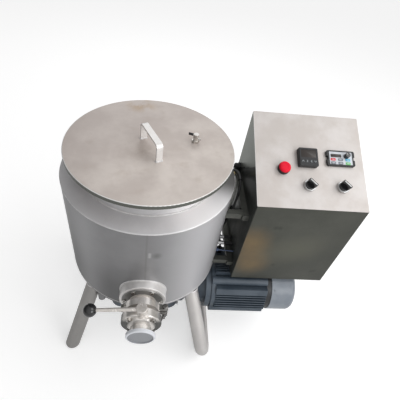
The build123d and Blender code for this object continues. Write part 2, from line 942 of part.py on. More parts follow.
def valve_lever():
    start_height, length, tilt = lever_line()
    hub = rod(lever_hub, hub_start, hub_start + lever_hub_height)
    hub = fillet(edge_at(hub, hub_start + lever_hub_height, lever_hub), valve_edge)
    grip_start = length - ball_grip - ball_radius
    taper = Cone(lever_rod, lever_rod_end, grip_start, align=standing)
    rod_solid = taper + rod(lever_rod_end, grip_start, length)
    bar = Pos(0, 0, start_height) * Rot(0, -90 - tilt, 0) * rod_solid
    lever = hub + bar
    lever -= rod(stem_radius + seat_gap, 0, hub_start + lever_hub_height / 2 + seat_gap)
    return stem_frame() * lying * lever


def lever_knob():
    start_height, length, tilt = lever_line()
    ball = Pos(0, 0, length) * Sphere(ball_radius)
    ball -= rod(lever_rod_end + seat_gap, 0, length + seat_gap)
    ball -= rod(lever_rod, 0, length - ball_radius + weld_overlap)
    return stem_frame() * lying * Pos(0, 0, start_height) * Rot(0, -90 - tilt, 0) * ball


def outlet_cap():
    inner = ferrule_radius + free_gap
    outer = inner + cap_wall
    seat = valve_front + free_gap
    front = seat + cap_face
    cap = turned([
        (0, seat), (inner, seat), (inner, seat - cap_skirt), (outer, seat - cap_skirt),
        (outer, front - cap_edge), (outer - cap_edge, front), (outer - cap_rim, front),
        (outer - cap_rim - cap_edge / 2, front - cap_recess), (0, front - cap_recess),
    ])
    return outlet_frame * cap


# Legs

def left_leg_point(height):
    reach = leg_seat + (shell_bottom - height) * tan(radians(left_leg_splay))
    return (-reach * cos(radians(left_leg_turn)), -reach * sin(radians(left_leg_turn)), height)


def leg_trim(part):
    wide = 4 * shell_radius
    part -= slab((-wide, -wide, shell_bottom), (wide, wide, shell_bottom + wide))
    return part - slab((-wide, -wide, -wide), (wide, wide, 0))


def straight_leg(radius, low):
    path = Line(left_leg_point(shell_bottom + 2 * leg_radius), left_leg_point(-2 * leg_radius))
    leg = leg_trim(sweep(Plane(path @ 0, z_dir=path % 0) * Circle(radius), path=path))
    wide = 4 * shell_radius
    return leg - slab((-wide, -wide, -wide), (wide, wide, low))


def left_legs():
    leg = straight_leg(leg_radius, 0)
    leg = fillet(leg.edges().group_by(Axis.Z)[0], foot_edge)
    leg -= straight_leg(leg_radius - leg_wall, foot_sole + foot_edge)
    return group([leg, mirror(leg, about=Plane.XZ)])


def right_leg_hoop():
    corner = Vector(rail_place, -rail_length / 2, leg_radius)
    seat = Vector(leg_seat, 0, shell_bottom).rotate(Axis.Z, -right_leg_turn)
    top = seat + (seat - corner).normalized() * (2 * leg_radius)
    near_side = [tuple(top), tuple(corner)]
    far_side = [(x, -y, z) for x, y, z in reversed(near_side)]
    path = FilletPolyline(*near_side, *far_side, radius=rail_bend)
    section = Circle(leg_radius) - Circle(leg_radius - leg_wall)
    return leg_trim(sweep(Plane(path @ 0, z_dir=path % 0) * section, path=path))


# Worm drive

def drive_plate():
    plate = ring(drive_plate_radius, shaft_radius + free_gap, housing_top, shell_bottom)
    return chamfer(edge_at(plate, housing_top, drive_plate_radius), shoulder_edge)


def gearbox_housing():
    front = gear_centre + housing_front
    low = (-housing_left, -front, housing_bottom)
    high = (housing_right, housing_back, housing_top)
    block = slab(low, high)
    block = fillet(block.edges().filter_by(Axis.Z), housing_corner)
    flat_edges = block.edges().group_by(Axis.Z)
    block = fillet(flat_edges[0] + flat_edges[-1], housing_edge)
    worm_length = housing_left - housing_wall
    block -= rod(chamber_radius, housing_bottom, housing_top - housing_wall)
    block -= drive_frame * rod(worm_room, -worm_length, worm_length)
    block -= drive_frame * rod(worm_journal + running_gap, -worm_length - housing_wall / 2, housing_right)
    block -= rod(wheel_hub + running_gap, housing_bottom, housing_top)
    for across in (-housing_hole_spread, housing_hole_spread):
        for up in (-housing_hole_spread, housing_hole_spread):
            hole = Pos(across, -front, drive_height + up) * lying * rod(housing_hole, 0, housing_hole_depth)
            block -= hole
    return block


def gearbox_cover():
    radius = chamber_radius + cover_rim
    cover = rod(radius, housing_bottom - cover_thickness, housing_bottom)
    cover = fillet(edge_at(cover, housing_bottom - cover_thickness, radius), housing_edge / 2)
    cover += rod(chamber_radius - seat_gap, housing_bottom, housing_bottom + cover_spigot)
    return cover - rod(wheel_hub + running_gap, housing_bottom, housing_bottom + cover_spigot)


def flank(height):
    return height * tan(radians(tooth_angle))


def worm_shaft():
    length = worm_turns * worm_lead
    half_pitch = worm_lead / 4 - tooth_play / 2
    foot = worm_root - weld_overlap
    foot_half = half_pitch + flank(worm_pitch_radius - foot)
    tip_half = half_pitch - flank(gear_module)
    profile = Polygon((foot, -foot_half), (worm_tip, -tip_half), (worm_tip, tip_half), (foot, foot_half),
                      align=None)
    path = Helix(pitch=worm_lead, height=length, radius=worm_root, center=(0, 0, -length / 2))
    thread = sweep(Plane.XZ * Pos(0, -length / 2) * profile, path=path, is_frenet=True)
    end = length / 2 + worm_lead / 2
    shaft = rod(worm_root, -end, end) + thread
    left_end = housing_left - housing_wall / 2 - free_gap
    shaft += rod(worm_journal, -left_end, worm_end_reach)
    shaft -= rod(motor_shaft + seat_gap, housing_right, worm_end_reach)
    return drive_frame * shaft


def tooth_outline():
    half_pitch = worm_lead / 4 - tooth_play / 2
    flank_radius = wheel_pitch_radius * sin(radians(tooth_angle))
    flank_normal = Vector(flank_radius, 0).rotate(Axis.Z, 90.0 - tooth_angle)
    flank_centre = Vector(wheel_pitch_radius, half_pitch) - flank_normal

    def half_width(radius):
        return flank_centre.Y + sqrt(flank_radius ** 2 - (radius - flank_centre.X) ** 2)

    inner = wheel_root - weld_overlap
    low, middle, top = [half_width(radius) for radius in (wheel_root, wheel_pitch_radius, wheel_tip)]
    edges = Polyline((wheel_root, low), (inner, low), (inner, -low), (wheel_root, -low)).edges()
    edges += [ThreePointArc((wheel_root, -low), (wheel_pitch_radius, -middle), (wheel_tip, -top))]
    edges += [Line((wheel_tip, -top), (wheel_tip, top))]
    edges += [ThreePointArc((wheel_tip, top), (wheel_pitch_radius, middle), (wheel_root, low))]
    return make_face(edges)


def worm_wheel():
    half = wheel_width / 2
    lean = degrees(half * worm_lead / (2 * pi * worm_pitch_radius) / wheel_pitch_radius)
    low = Pos(0, 0, -half) * Rot(0, 0, -lean) * tooth_outline()
    high = Pos(0, 0, half) * Rot(0, 0, lean) * tooth_outline()
    tooth = loft([low.face(), high.face()], ruled=True)
    space_turn = -90.0 + 180.0 / wheel_teeth
    wheel = rod(wheel_root, -half, half)
    wheel += [turn * tooth for turn in spread(wheel_teeth, space_turn)]
    wheel = Pos(0, 0, drive_height) * wheel
    wheel += rod(wheel_hub, housing_bottom + running_gap, housing_top - free_gap)
    return wheel - rod(shaft_radius + seat_gap, housing_bottom, housing_top)


# Motor

def motor_flange():
    adaptor = housing_right
    inner = adaptor_neck - adaptor_wall
    bell = turned([
        (worm_journal + free_gap, adaptor),
        (adaptor_flange, adaptor),
        (adaptor_flange, adaptor + adaptor_flange_length),
        (adaptor_neck, adaptor + 2 * adaptor_flange_length),
        (adaptor_end, shield_start),
        (shield_radius, shield_start),
        (shield_radius, motor_start),
        (motor_shaft + running_gap, motor_start),
        (motor_shaft + running_gap, shield_start - adaptor_wall),
        (inner, shield_start - adaptor_wall),
        (inner, adaptor + adaptor_wall),
        (worm_journal + free_gap, adaptor + adaptor_wall),
    ])
    return drive_frame * bell


def fin_reach(place):
    return min(motor_reach, sqrt(fin_corner ** 2 - place ** 2))


def corner_bars():
    bars = Sketch()
    for across in (-corner_bar_place, corner_bar_place):
        for up in (-corner_bar_place, corner_bar_place):
            bars += Pos(across, up) * Circle(corner_bar)
    return bars


def motor_section():
    outline = Circle(motor_core) + corner_bars()
    for row in range(-fin_rows, fin_rows + 1):
        place = row * fin_pitch
        reach = fin_reach(place)
        outline += Pos(0, place) * Rectangle(2 * reach, fin_thickness)
        outline += Pos(place, 0) * Rectangle(fin_thickness, 2 * reach)
    seat_height = plate_seat_high - plate_seat_low
    seat_middle = (plate_seat_high + plate_seat_low) / 2
    outline += Pos(-motor_reach / 2, seat_middle) * Rectangle(motor_reach, seat_height)
    return outline


def motor_body():
    bell_start = motor_start + joint_groove_length
    fins_start = bell_start + end_bell_length
    fins_end = fan_cover_start - end_ring_length
    body = rod(joint_groove, motor_start, bell_start)
    body += Rot(0, 0, -motor_turn) * prism(Circle(end_bell) + corner_bars(), bell_start, fins_start)
    body += Rot(0, 0, -motor_turn) * prism(motor_section(), fins_start, fins_end)
    seat_height = terminal_height - 2 * terminal_edge
    terminal_seat = Pos(terminal_reach / 2, terminal_lift) * Rectangle(terminal_reach, seat_height)
    body += prism(terminal_seat, terminal_left, terminal_left + terminal_length)
    body += rod(fan_cover_radius - fan_cover_sheet - seat_gap, fins_end, motor_end)
    body -= rod(rotor_radius + rotor_air_gap, motor_start, motor_end - motor_end_wall)
    body -= rod(motor_shaft + running_gap, motor_start, motor_end)
    return drive_frame * body


def motor_rotor():
    end = fan_cover_end - fan_cover_sheet - fan_inset
    rotor = rod(motor_shaft, housing_right + housing_wall, end)
    rotor += rod(rotor_radius, motor_start + rotor_inset, motor_end - motor_end_wall - rotor_inset)
    return drive_frame * rotor


def motor_fan():
    end = fan_cover_end - fan_cover_sheet - fan_inset
    start = end - fan_width
    fan = rod(fan_hub, start, end) + rod(fan_radius, start, start + fan_blade)
    for turn in spread(fan_blades):
        fan += turn * slab((0, -fan_blade / 2, start), (fan_radius, fan_blade / 2, end))
    return drive_frame * (fan - rod(motor_shaft + seat_gap, start, end))


def fan_cover():
    cup = rod(fan_cover_radius, fan_cover_start, fan_cover_end)
    cup = fillet(edge_at(cup, fan_cover_end, fan_cover_radius), fan_cover_edge)
    hollow_radius = fan_cover_radius - fan_cover_sheet
    hollow_end = fan_cover_end - fan_cover_sheet
    hollow = rod(hollow_radius, fan_cover_start, hollow_end)
    hollow = fillet(edge_at(hollow, hollow_end, hollow_radius), fan_cover_edge - fan_cover_sheet)
    cup -= hollow
    slots = Sketch()
    for row in range(grille_rings):
        inner = grille_start + row * grille_pitch
        slots += Circle(inner + grille_slot) - Circle(inner)
    for bar in range(grille_bars):
        slots -= Rot(0, 0, 180.0 * bar / grille_bars) * Rectangle(2 * fan_cover_radius, grille_spoke)
    return drive_frame * (cup - prism(slots, hollow_end - fan_cover_sheet, fan_cover_end))


def terminal_box():
    low = (terminal_left, terminal_face, terminal_top - terminal_height)
    high = (terminal_left + terminal_length, terminal_face + terminal_depth, terminal_top)
    block = slab(low, high)
    block = fillet(block.edges().filter_by(Axis.Y), terminal_edge)
    block = fillet(block.edges().group_by(Axis.Y)[-1], terminal_edge / 2)
    seam = high[1] - terminal_lid
    inside = [terminal_groove, 0, terminal_groove]
    core = slab([low[i] + inside[i] for i in range(3)], [high[i] - inside[i] for i in range(3)])
    groove = slab((low[0], seam, low[2]), (high[0], seam + terminal_groove, high[2])) - core
    return block - groove


# Control box

def box_side_outline():
    drop = box_sheet / cos(radians(box_slope))
    back = box_back - box_sheet
    back_top = box_back_top - drop - box_sheet * tan(radians(box_slope))
    return Polygon((-box_front, box_bottom), (back, box_bottom), (back, back_top),
                   (-box_front, box_front_top - drop), align=None)


def control_box():
    block = Pos(box_left, 0, 0) * extrude(Plane.YZ * box_side_outline(), amount=box_width)
    front_edges = block.faces().sort_by(Axis.Y)[0].edges().filter_by(Axis.Z)
    bottom_edges = block.faces().sort_by(Axis.Z)[0].edges()
    block = fillet(front_edges + bottom_edges, box_edge)
    low = (box_left + box_sheet, box_sheet - box_front, box_bottom + box_sheet)
    high = (box_right - box_sheet, box_back - 2 * box_sheet, 2 * box_back_top)
    block -= slab(low, high)
    lip_low = (box_left + box_lip, 0, box_bottom + box_lip)
    lip_high = (box_right - box_lip, 2 * box_back, 2 * box_back_top)
    block -= slab(lip_low, lip_high)
    for place, radius in side_holes():
        block -= side_place(place) * rod(radius, -2 * box_sheet, box_sheet)
    return block


def side_holes():
    holes = [(motor_gland, gland_thread + seat_gap), (probe_gland, gland_thread + seat_gap)]
    for turn in heater_turns:
        holes.append(((lead_across(turn), heater_height - box_bottom), heater_lead_radius + lead_play))
    holes.append(((lead_across(earth_turn), earth_height - box_bottom), earth_radius + lead_play))
    return holes


def side_place(place):
    across, up = place
    return Plane(origin=(box_left, across, box_bottom + up), z_dir=(-1, 0, 0))


def lead_across(turn):
    return (shell_radius + heater_bush_length + heater_cap_length) * sin(radians(turn))


def control_panel():
    plate = Rectangle(box_width, panel_length)
    plate = fillet(plate.vertices(), box_edge)
    panel = Pos(box_width / 2, panel_length / 2, 0) * prism(plate, -box_sheet, 0)
    panel = fillet(panel.edges().group_by(Axis.Z)[-1], box_sheet / 2)
    for place in (lamp_place,) + selector_places:
        panel -= Pos(*place, 0) * rod(device_neck + seat_gap, -box_sheet, 0)
    square = controller_body + 2 * seat_gap
    panel -= Pos(*controller_place, 0) * prism(Rectangle(square, square), -box_sheet, 0)
    wide, high = keypad_body
    window = Rectangle(wide + 2 * seat_gap, high + 2 * seat_gap)
    panel -= Pos(*keypad_place, 0) * prism(window, -box_sheet, 0)
    return panel_frame * panel


def rear_cover():
    slope = radians(box_slope)
    height = box_back_top - box_bottom - box_sheet / cos(slope) - box_sheet * tan(slope)
    plate = Pos(box_width / 2, height / 2) * Rectangle(box_width, height)
    plate = fillet(plate.vertices(), box_edge)
    cover = prism(plate, -box_sheet, 0)
    for row in range(vent_slots):
        up = vent_slot_lift + row * vent_slot_pitch
        for across in (box_width / 4, 3 * box_width / 4):
            slot = Pos(across, up) * SlotOverall(vent_slot_length, vent_slot_width)
            cover -= prism(slot, -box_sheet, 0)
    cover -= Pos(*supply_gland, 0) * rod(gland_thread + seat_gap, -box_sheet, 0)
    return rear_frame * cover


def inverter():
    back = box_back - 2 * box_sheet - inverter_back_room
    middle = box_left + box_width / 2
    low = (middle - inverter_width / 2, back - inverter_depth, box_bottom + box_sheet)
    high = (middle + inverter_width / 2, back, box_bottom + box_sheet + inverter_height)
    block = slab(low, high)
    block = fillet(block.edges().filter_by(Axis.Z), inverter_edge)
    pitch = inverter_width / (inverter_fins + 1)
    for row in range(inverter_fins):
        across = low[0] + (row + 1) * pitch
        block -= slab((across - inverter_fin_slot / 2, back - inverter_fin_depth, low[2]),
                      (across + inverter_fin_slot / 2, back, high[2]))
    return block


def box_brackets():
    brackets = []
    half = bracket_bar / 2
    core = half - bracket_wall
    right = box_left
    middle = right - half
    for lift in bracket_lifts:
        height = box_bottom + lift
        end = bracket_length / 2
        outside = slab((right - bracket_bar, -end, height - half), (right, end, height + half))
        inside = slab((middle - core, bracket_wall - end, height - core),
                      (middle + core, end - bracket_wall, height + core))
        for side in (-1, 1):
            across = side * bracket_arm_spread
            outside += slab((0, across - half, height - half), (middle, across + half, height + half))
            inside += slab((0, across - core, height - core), (middle, across + core, height + core))
        brackets.append((outside - inside) - rod(shell_radius + seat_gap, 0, lid_top))
    return group([max(bracket.solids(), key=lambda s: s.volume) for bracket in brackets])


# Panel instruments

def lamp_bezel():
    bezel = rod(device_bezel, 0, lamp_bezel_height) + rod(device_neck, -lamp_depth, 0)
    bezel = fillet(edge_at(bezel, lamp_bezel_height, device_bezel), pad_edge)
    recess = lamp_bezel_height - lens_spigot_depth
    bezel -= rod(lens_spigot + seat_gap, recess, lamp_bezel_height)
    return panel_frame * Pos(*lamp_place, 0) * bezel


def lamp_lens():
    top = lamp_bezel_height + lens_height
    lens = rod(lens_radius, lamp_bezel_height, top)
    lens = fillet(edge_at(lens, top, lens_radius), lens_edge)
    lens += rod(lens_spigot, lamp_bezel_height - lens_spigot_depth, lamp_bezel_height)
    return panel_frame * Pos(*lamp_place, 0) * lens


def temperature_controller():
    face = RectangleRounded(controller_size, controller_size, controller_edge)
    body = prism(face, 0, controller_stand)
    body = chamfer(body.edges().group_by(Axis.Z)[-1], controller_edge / 2)
    body += prism(Rectangle(controller_body, controller_body), -controller_depth, 0)
    window = Pos(0, controller_window_lift) * Rectangle(*controller_window)
    body -= prism(window, controller_stand - controller_window_depth, controller_stand)
    return panel_frame * Pos(*controller_place, 0) * body


def keypad():
    wide, high = keypad_size
    outline = RectangleRounded(wide, high, keypad_corner)
    notch_depth, notch_height = keypad_notch
    for side in (-1, 1):
        outline -= Pos(side * wide / 2, 0) * Rectangle(2 * notch_depth, notch_height)
    pad = prism(outline, 0, keypad_stand)
    pad += prism(Rectangle(*keypad_body), -keypad_depth, 0)
    inner = 2 * (keypad_rim + notch_depth)
    recess = RectangleRounded(wide - inner, high - 2 * keypad_rim, keypad_corner / 2)
    pad -= prism(recess, keypad_stand - keypad_recess, keypad_stand)
    pad = Pos(*keypad_place, 0) * pad
    hole_floor = keypad_stand - keypad_recess - knob_spigot_depth - free_gap
    pad -= Pos(*knob_place, 0) * rod(knob_spigot + running_gap, hole_floor, keypad_stand)
    return panel_frame * pad


def speed_knob():
    low = keypad_stand - keypad_recess + free_gap
    high = low + knob_height
    knob = rod(knob_radius, low, high)
    knob = fillet(edge_at(knob, high, knob_radius), knob_flute)
    for turn in spread(knob_flutes):
        knob -= turn * Pos(knob_radius + knob_flute / 2, 0, 0) * rod(knob_flute, low, high - 2 * knob_flute)
    knob += rod(knob_spigot, low - knob_spigot_depth, low)
    return panel_frame * Pos(*knob_place, 0) * knob


def selector_bodies():
    bezel = rod(device_bezel, 0, selector_bezel_height) + rod(device_neck, -selector_depth, 0)
    bezel = fillet(edge_at(bezel, selector_bezel_height, device_bezel), pad_edge)
    wide, high, deep = selector_block
    bezel += prism(Rectangle(wide, high), -selector_depth - deep, -selector_depth)
    floor = selector_bezel_height - selector_spigot_depth - free_gap
    bezel -= rod(selector_spigot + running_gap, floor, selector_bezel_height)
    return group([panel_frame * Pos(*place, 0) * bezel for place in selector_places])


def selector_knob(place):
    low = selector_bezel_height + seat_gap
    length, width, height = selector_bar
    disc_top = low + selector_disc_height
    knob = rod(selector_disc, low, disc_top)
    knob = fillet(edge_at(knob, disc_top, selector_disc), pad_edge)
    bar = prism(RectangleRounded(length, width, width / 3), low, low + selector_disc_height + height)
    bar = fillet(bar.edges().group_by(Axis.Z)[-1], selector_bar_edge / 2)
    knob += bar & rod(selector_disc, low, low + selector_disc_height + height)
    knob += rod(selector_spigot, low - selector_spigot_depth, low)
    return panel_frame * Pos(*place, 0) * Rot(0, 0, selector_turn) * knob


def left_selector_knob():
    return selector_knob(selector_places[0])


def right_selector_knob():
    return selector_knob(selector_places[1])


# Cables and glands

def gland(wall):
    hexagon = RegularPolygon(gland_hex, 6)
    body = prism(hexagon, 0, gland_hex_length)
    dome = rod(gland_dome, gland_hex_length, gland_reach)
    body += fillet(edge_at(dome, gland_reach, gland_dome), pad_edge)
    body += rod(gland_thread, -gland_thread_length, 0)
    body += prism(hexagon, -wall - gland_nut_length, -wall)
    return body - rod(gland_bore, -gland_thread_length, gland_reach)


def terminal_gland_place():
    return (terminal_left + terminal_length / 4, terminal_face + terminal_gland_back, terminal_top)


def cable_glands():
    glands = [side_place(place) * gland(box_sheet) for place in (motor_gland, probe_gland)]
    glands.append(rear_frame * Pos(*supply_gland, 0) * gland(box_sheet))
    bush = prism(RegularPolygon(gland_hex, 6), 0, gland_hex_length)
    bush += rod(gland_dome, gland_hex_length, gland_reach)
    glands.append(Pos(*terminal_gland_place()) * (bush - rod(gland_bore, gland_hex_length, gland_reach)))
    return group(glands)


def bend_radii(points):
    radii = []
    for before, here, after in zip(points, points[1:], points[2:]):
        back = Vector(*before) - Vector(*here)
        ahead = Vector(*after) - Vector(*here)
        turn = radians(180.0 - back.get_angle(ahead))
        radii.append(bend_share * min(back.length, ahead.length) / tan(turn / 2))
    return radii


def cable(name, points, radii, radius):
    path = FilletPolyline(*points, radius=radii)
    tube = sweep(Plane(path @ 0, z_dir=path % 0) * Circle(radius), path=path)
    share = round(tube.volume / (pi * radius ** 2 * path.length), 4)
    print(name, "length", round(path.length), "volume share", share, "radii", [round(r) for r in radii])
    return tube


def along_shell(route):
    points = []
    for stand, across, share in route:
        reach = sqrt((shell_radius + stand) ** 2 - across ** 2)
        points.append((reach, across, shell_bottom + share * shell_height))
    return points


def motor_conduit():
    start = (box_left - gland_reach, motor_gland[0], box_bottom + motor_gland[1])
    gland_x, gland_y, gland_z = terminal_gland_place()
    end = (gland_x, gland_y, gland_z + gland_hex_length)
    lead_in = (start[0] - conduit_lead_in, start[1], start[2])
    drop = (gland_x, gland_y, gland_z + gland_reach + conduit_drop)
    points = [start, lead_in, *along_shell(conduit_route), drop, end]
    radii = bend_radii(points)
    before, after = points[conduit_bends:conduit_bends + 2]
    sleeve_end = (Vector(*before) + Vector(*after)) / 2
    sleeve_points = [*points[:conduit_bends + 1], tuple(sleeve_end)]
    sleeve = cable("conduit_sleeve", sleeve_points, radii[:conduit_bends], conduit_radius)
    return sleeve + cable("motor_conduit", points, radii, motor_cord_radius)


def probe_lead():
    frame = radial_frame(probe_turn, probe_height)
    start = tuple(frame.from_local_coords((-probe_head_reach, 0, probe_axis)))
    lead_in = tuple(frame.from_local_coords((-probe_head_reach - probe_lead_in, 0, probe_axis)))
    end = (box_left - gland_reach, probe_gland[0], box_bottom + probe_gland[1])
    lead_out = (end[0] - probe_lead_out, end[1], end[2])
    points = [start, lead_in, *along_shell(probe_lead_route), lead_out, end]
    return cable("probe_lead", points, bend_radii(points), probe_lead_radius)


def heater_leads():
    leads = []
    reach = shell_radius + heater_bush_length + heater_cap_length
    for turn, place in zip(heater_turns, heater_places()):
        slant = heater_lead_radius * tan(radians(abs(turn))) + seat_gap
        start = place.from_local_coords((0, 0, reach + slant))
        end = (box_left + gland_thread_length, start.Y, heater_height)
        path = Line(start, end)
        leads.append(sweep(Plane(path @ 0, z_dir=path % 0) * Circle(heater_lead_radius), path=path))
    return group(leads)


def earth_wire():
    frame = radial_frame(earth_turn, earth_height)
    lug_end = shell_radius + seat_gap + earth_lug_length
    lug = frame * prism(RegularPolygon(earth_lug, 6), shell_radius + seat_gap, lug_end)
    start = frame.from_local_coords((0, 0, lug_end - weld_overlap))
    end = (box_left + gland_thread_length, lead_across(earth_turn), earth_height)
    path = Line(start, end)
    return lug + sweep(Plane(path @ 0, z_dir=path % 0) * Circle(earth_radius), path=path)


pieces = [
    outer_shell, shoulder_ring, jacket_base, inner_pot, shaft_sleeve, shaft_seal, immersion_heater,
    temperature_probe, drain_socket, lid, lid_handle, vent_cock_body, vent_cock_lever, agitator_shaft,
    agitator_frame, scraper_blades, outlet_pad, outlet_flange, socket_bolts, outlet_seals, clamp_halves,
    clamp_bolt, clamp_wing_nut, valve_body_rear, valve_body_front, valve_disc, valve_lever, lever_knob,
    outlet_cap, left_legs, right_leg_hoop, drive_plate, gearbox_housing, gearbox_cover, worm_shaft,
    worm_wheel, motor_flange, motor_body, motor_rotor, motor_fan, fan_cover, terminal_box, control_box,
    control_panel, rear_cover, inverter, box_brackets, lamp_bezel, lamp_lens, temperature_controller,
    keypad, speed_knob, selector_bodies, left_selector_knob, right_selector_knob, cable_glands,
    motor_conduit, probe_lead, heater_leads, earth_wire,
]


def main():
    os.makedirs("parts", exist_ok=True)
    solids = {piece.__name__: piece() for piece in pieces}
    boxes = [solid.bounding_box() for solid in solids.values()]
    middle_x = (min(box.min.X for box in boxes) + max(box.max.X for box in boxes)) / 2
    middle_y = (min(box.min.Y for box in boxes) + max(box.max.Y for box in boxes)) / 2
    print("origin moved to the middle of the footprint:", round(middle_x, 4), round(middle_y, 4))
    for name, solid in solids.items():
        export_step(Pos(-middle_x, -middle_y, 0) * solid, os.path.join("parts", name + ".step"))


main()
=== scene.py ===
import json
import math
import bmesh
import bpy
from mathutils import Euler, Matrix, Vector


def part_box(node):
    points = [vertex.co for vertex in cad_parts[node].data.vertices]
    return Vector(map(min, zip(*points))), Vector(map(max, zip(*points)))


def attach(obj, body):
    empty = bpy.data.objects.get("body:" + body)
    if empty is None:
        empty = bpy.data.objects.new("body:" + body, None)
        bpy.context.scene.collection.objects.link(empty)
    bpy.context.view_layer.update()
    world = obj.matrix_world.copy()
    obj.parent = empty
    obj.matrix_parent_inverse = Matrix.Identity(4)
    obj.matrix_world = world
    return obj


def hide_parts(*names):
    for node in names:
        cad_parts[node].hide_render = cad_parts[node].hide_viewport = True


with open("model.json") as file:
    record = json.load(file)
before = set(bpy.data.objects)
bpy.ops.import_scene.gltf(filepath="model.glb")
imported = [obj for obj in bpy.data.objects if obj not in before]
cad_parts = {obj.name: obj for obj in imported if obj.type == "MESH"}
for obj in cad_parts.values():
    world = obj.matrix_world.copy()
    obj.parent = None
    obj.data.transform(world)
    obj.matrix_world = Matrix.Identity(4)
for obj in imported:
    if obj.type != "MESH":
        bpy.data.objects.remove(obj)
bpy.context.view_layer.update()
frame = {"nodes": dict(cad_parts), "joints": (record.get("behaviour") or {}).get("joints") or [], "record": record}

scene = bpy.context.scene
mm = 0.001
nodes = frame["nodes"]
joints = {joint["name"]: joint for joint in frame["joints"]}
print("frame loaded with", len(nodes), "nodes")


# where the machine's main axes and faces are, read from the frame

def middleOf(node):
    low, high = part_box(node)
    return (low + high) / 2


def jointPlace(name):
    return Vector(joints[name]["pos_m"])


shellMiddle = middleOf("outer_shell")
vesselAxis = Vector((shellMiddle.x, shellMiddle.y, 0))
shellRadius = (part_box("outer_shell")[1].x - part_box("outer_shell")[0].x) / 2
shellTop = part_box("shoulder_ring")[0].z
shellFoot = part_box("outer_shell")[0].z
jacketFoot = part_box("jacket_base")[0].z
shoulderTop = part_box("shoulder_ring")[1].z
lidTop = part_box("lid")[1].z
lidRadius = (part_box("lid")[1].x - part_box("lid")[0].x) / 2
driveAxis = jointPlace("motor_spin")
outletAxis = Vector((vesselAxis.x, 0, middleOf("outlet_cap").z))
ventAxis = jointPlace("vent_turn")
panelNormal = Vector(joints["left_selector_turn"]["axis"]).normalized()
panelRight = Vector((1, 0, 0))
panelUp = panelNormal.cross(panelRight)
panelMiddle = jointPlace("left_selector_turn")


def panelPlace(across, up, lift=0.0, turn=0.0):    # a spot on the panel, from the left selector
    basis = Matrix((panelRight, panelUp, panelNormal)).transposed().to_4x4()
    spot = panelMiddle + panelRight * across + panelUp * up + panelNormal * lift
    return Matrix.Translation(spot) @ basis @ Matrix.Rotation(turn, 4, "Z")


def onPanel(point):    # how far a point lies across and up from the left selector
    away = point - panelMiddle
    return away.dot(panelRight), away.dot(panelUp)


lampSeat = panelPlace(-62.3 * mm, 40.0 * mm, 5.0 * mm)    # where the lens stands on its bezel


def fromVessel(*place):    # millimetres from the vessel's axis on the floor
    return vesselAxis + Vector(place) * mm


def turnTo(direction):    # turns +Z to a direction
    return Vector((0, 0, 1)).rotation_difference(Vector(direction)).to_matrix().to_4x4()


# shader maths

class Wire:    # an output socket that sums and products can be written with
    def __init__(self, tree, socket):
        self.tree = tree
        self.socket = socket

    @classmethod
    def node(cls, tree, kind, settings=None, sockets=None, output=0):
        made = tree.nodes.new("ShaderNode" + kind)
        for key, value in (settings or {}).items():
            setattr(made, key, value)
        for key, value in (sockets or {}).items():
            if isinstance(value, Wire):
                tree.links.new(value.socket, made.inputs[key])
            else:
                made.inputs[key].default_value = value
        return cls(tree, made.outputs[output])

    def maths(self, operation, first, second=0.0):
        return self.node(self.tree, "Math", {"operation": operation}, {0: first, 1: second})

    def __add__(self, other):
        return self.maths("ADD", self, other)

    def __radd__(self, other):
        return self.maths("ADD", other, self)

    def __sub__(self, other):
        return self.maths("SUBTRACT", self, other)

    def __rsub__(self, other):
        return self.maths("SUBTRACT", other, self)

    def __mul__(self, other):
        return self.maths("MULTIPLY", self, other)

    def __rmul__(self, other):
        return self.maths("MULTIPLY", other, self)

    def __abs__(self):
        return self.maths("ABSOLUTE", self)

    def sine(self):
        return self.maths("SINE", self)

    def root(self):
        return self.maths("SQRT", self)

    def angleWith(self, other):
        return self.maths("ARCTAN2", self, other)


def space(tree, centre=(0, 0, 0), stretch=(1, 1, 1)):    # Object coordinates from a centre
    here = Wire.node(tree, "TexCoord", output="Object")
    moved = Wire.node(tree, "Mapping", {}, {"Vector": here, "Location": [-c for c in centre]})
    return Wire.node(tree, "Mapping", {}, {"Vector": moved, "Scale": stretch})


def split(vector):
    return [Wire.node(vector.tree, "SeparateXYZ", {}, {"Vector": vector}, output) for output in range(3)]


def noise(vector, scale, detail=4.0, roughness=0.6):
    sockets = {"Vector": vector, "Scale": scale, "Detail": detail, "Roughness": roughness}
    return Wire.node(vector.tree, "TexNoise", {}, sockets)


def ease(value, low, high):    # 0 at the low end, rising softly to 1
    sockets = {"Value": value, "From Min": low, "From Max": high}
    return Wire.node(value.tree, "MapRange", {"interpolation_type": "SMOOTHSTEP"}, sockets)


def blend(factor, first, second):
    sides = [(*side, 1) if isinstance(side, tuple) else side for side in (first, second)]
    return Wire.node(factor.tree, "Mix", {"data_type": "RGBA"}, {0: factor, 6: sides[0], 7: sides[1]}, 2)


def radial(first, second):    # distance from an axis
    return (first * first + second * second).root()


def ripple(value, pitch):    # a wave from -1 to 1
    return (value * (2 * math.pi / pitch)).sine()


def dab(flat, colour, spots, mask=1.0):    # soft spots of one tone
    for place in spots["places"]:
        away = Wire.node(flat.tree, "VectorMath", {"operation": "DISTANCE"}, {0: flat, 1: place}, "Value")
        spot = 1 - ease(away, 0.0, spots["reach"])
        colour = blend(spot * mask * spots["share"], colour, spots["tone"])
    return colour


def sweep(turn, colour, sectors):    # tones round an axis, each fading from an inner to an outer angle
    for middle, inner, outer, share, tone in sectors:
        away = abs(turn - math.radians(middle))
        colour = blend((1 - ease(away, math.radians(inner), math.radians(outer))) * share, colour, tone)
    return colour


def attribute(tree, name, output):
    return Wire.node(tree, "Attribute", {"attribute_name": name}, output=output)


def relief(height, distance, strength):
    sockets = {"Height": height, "Distance": distance, "Strength": strength}
    return Wire.node(height.tree, "Bump", {}, sockets)


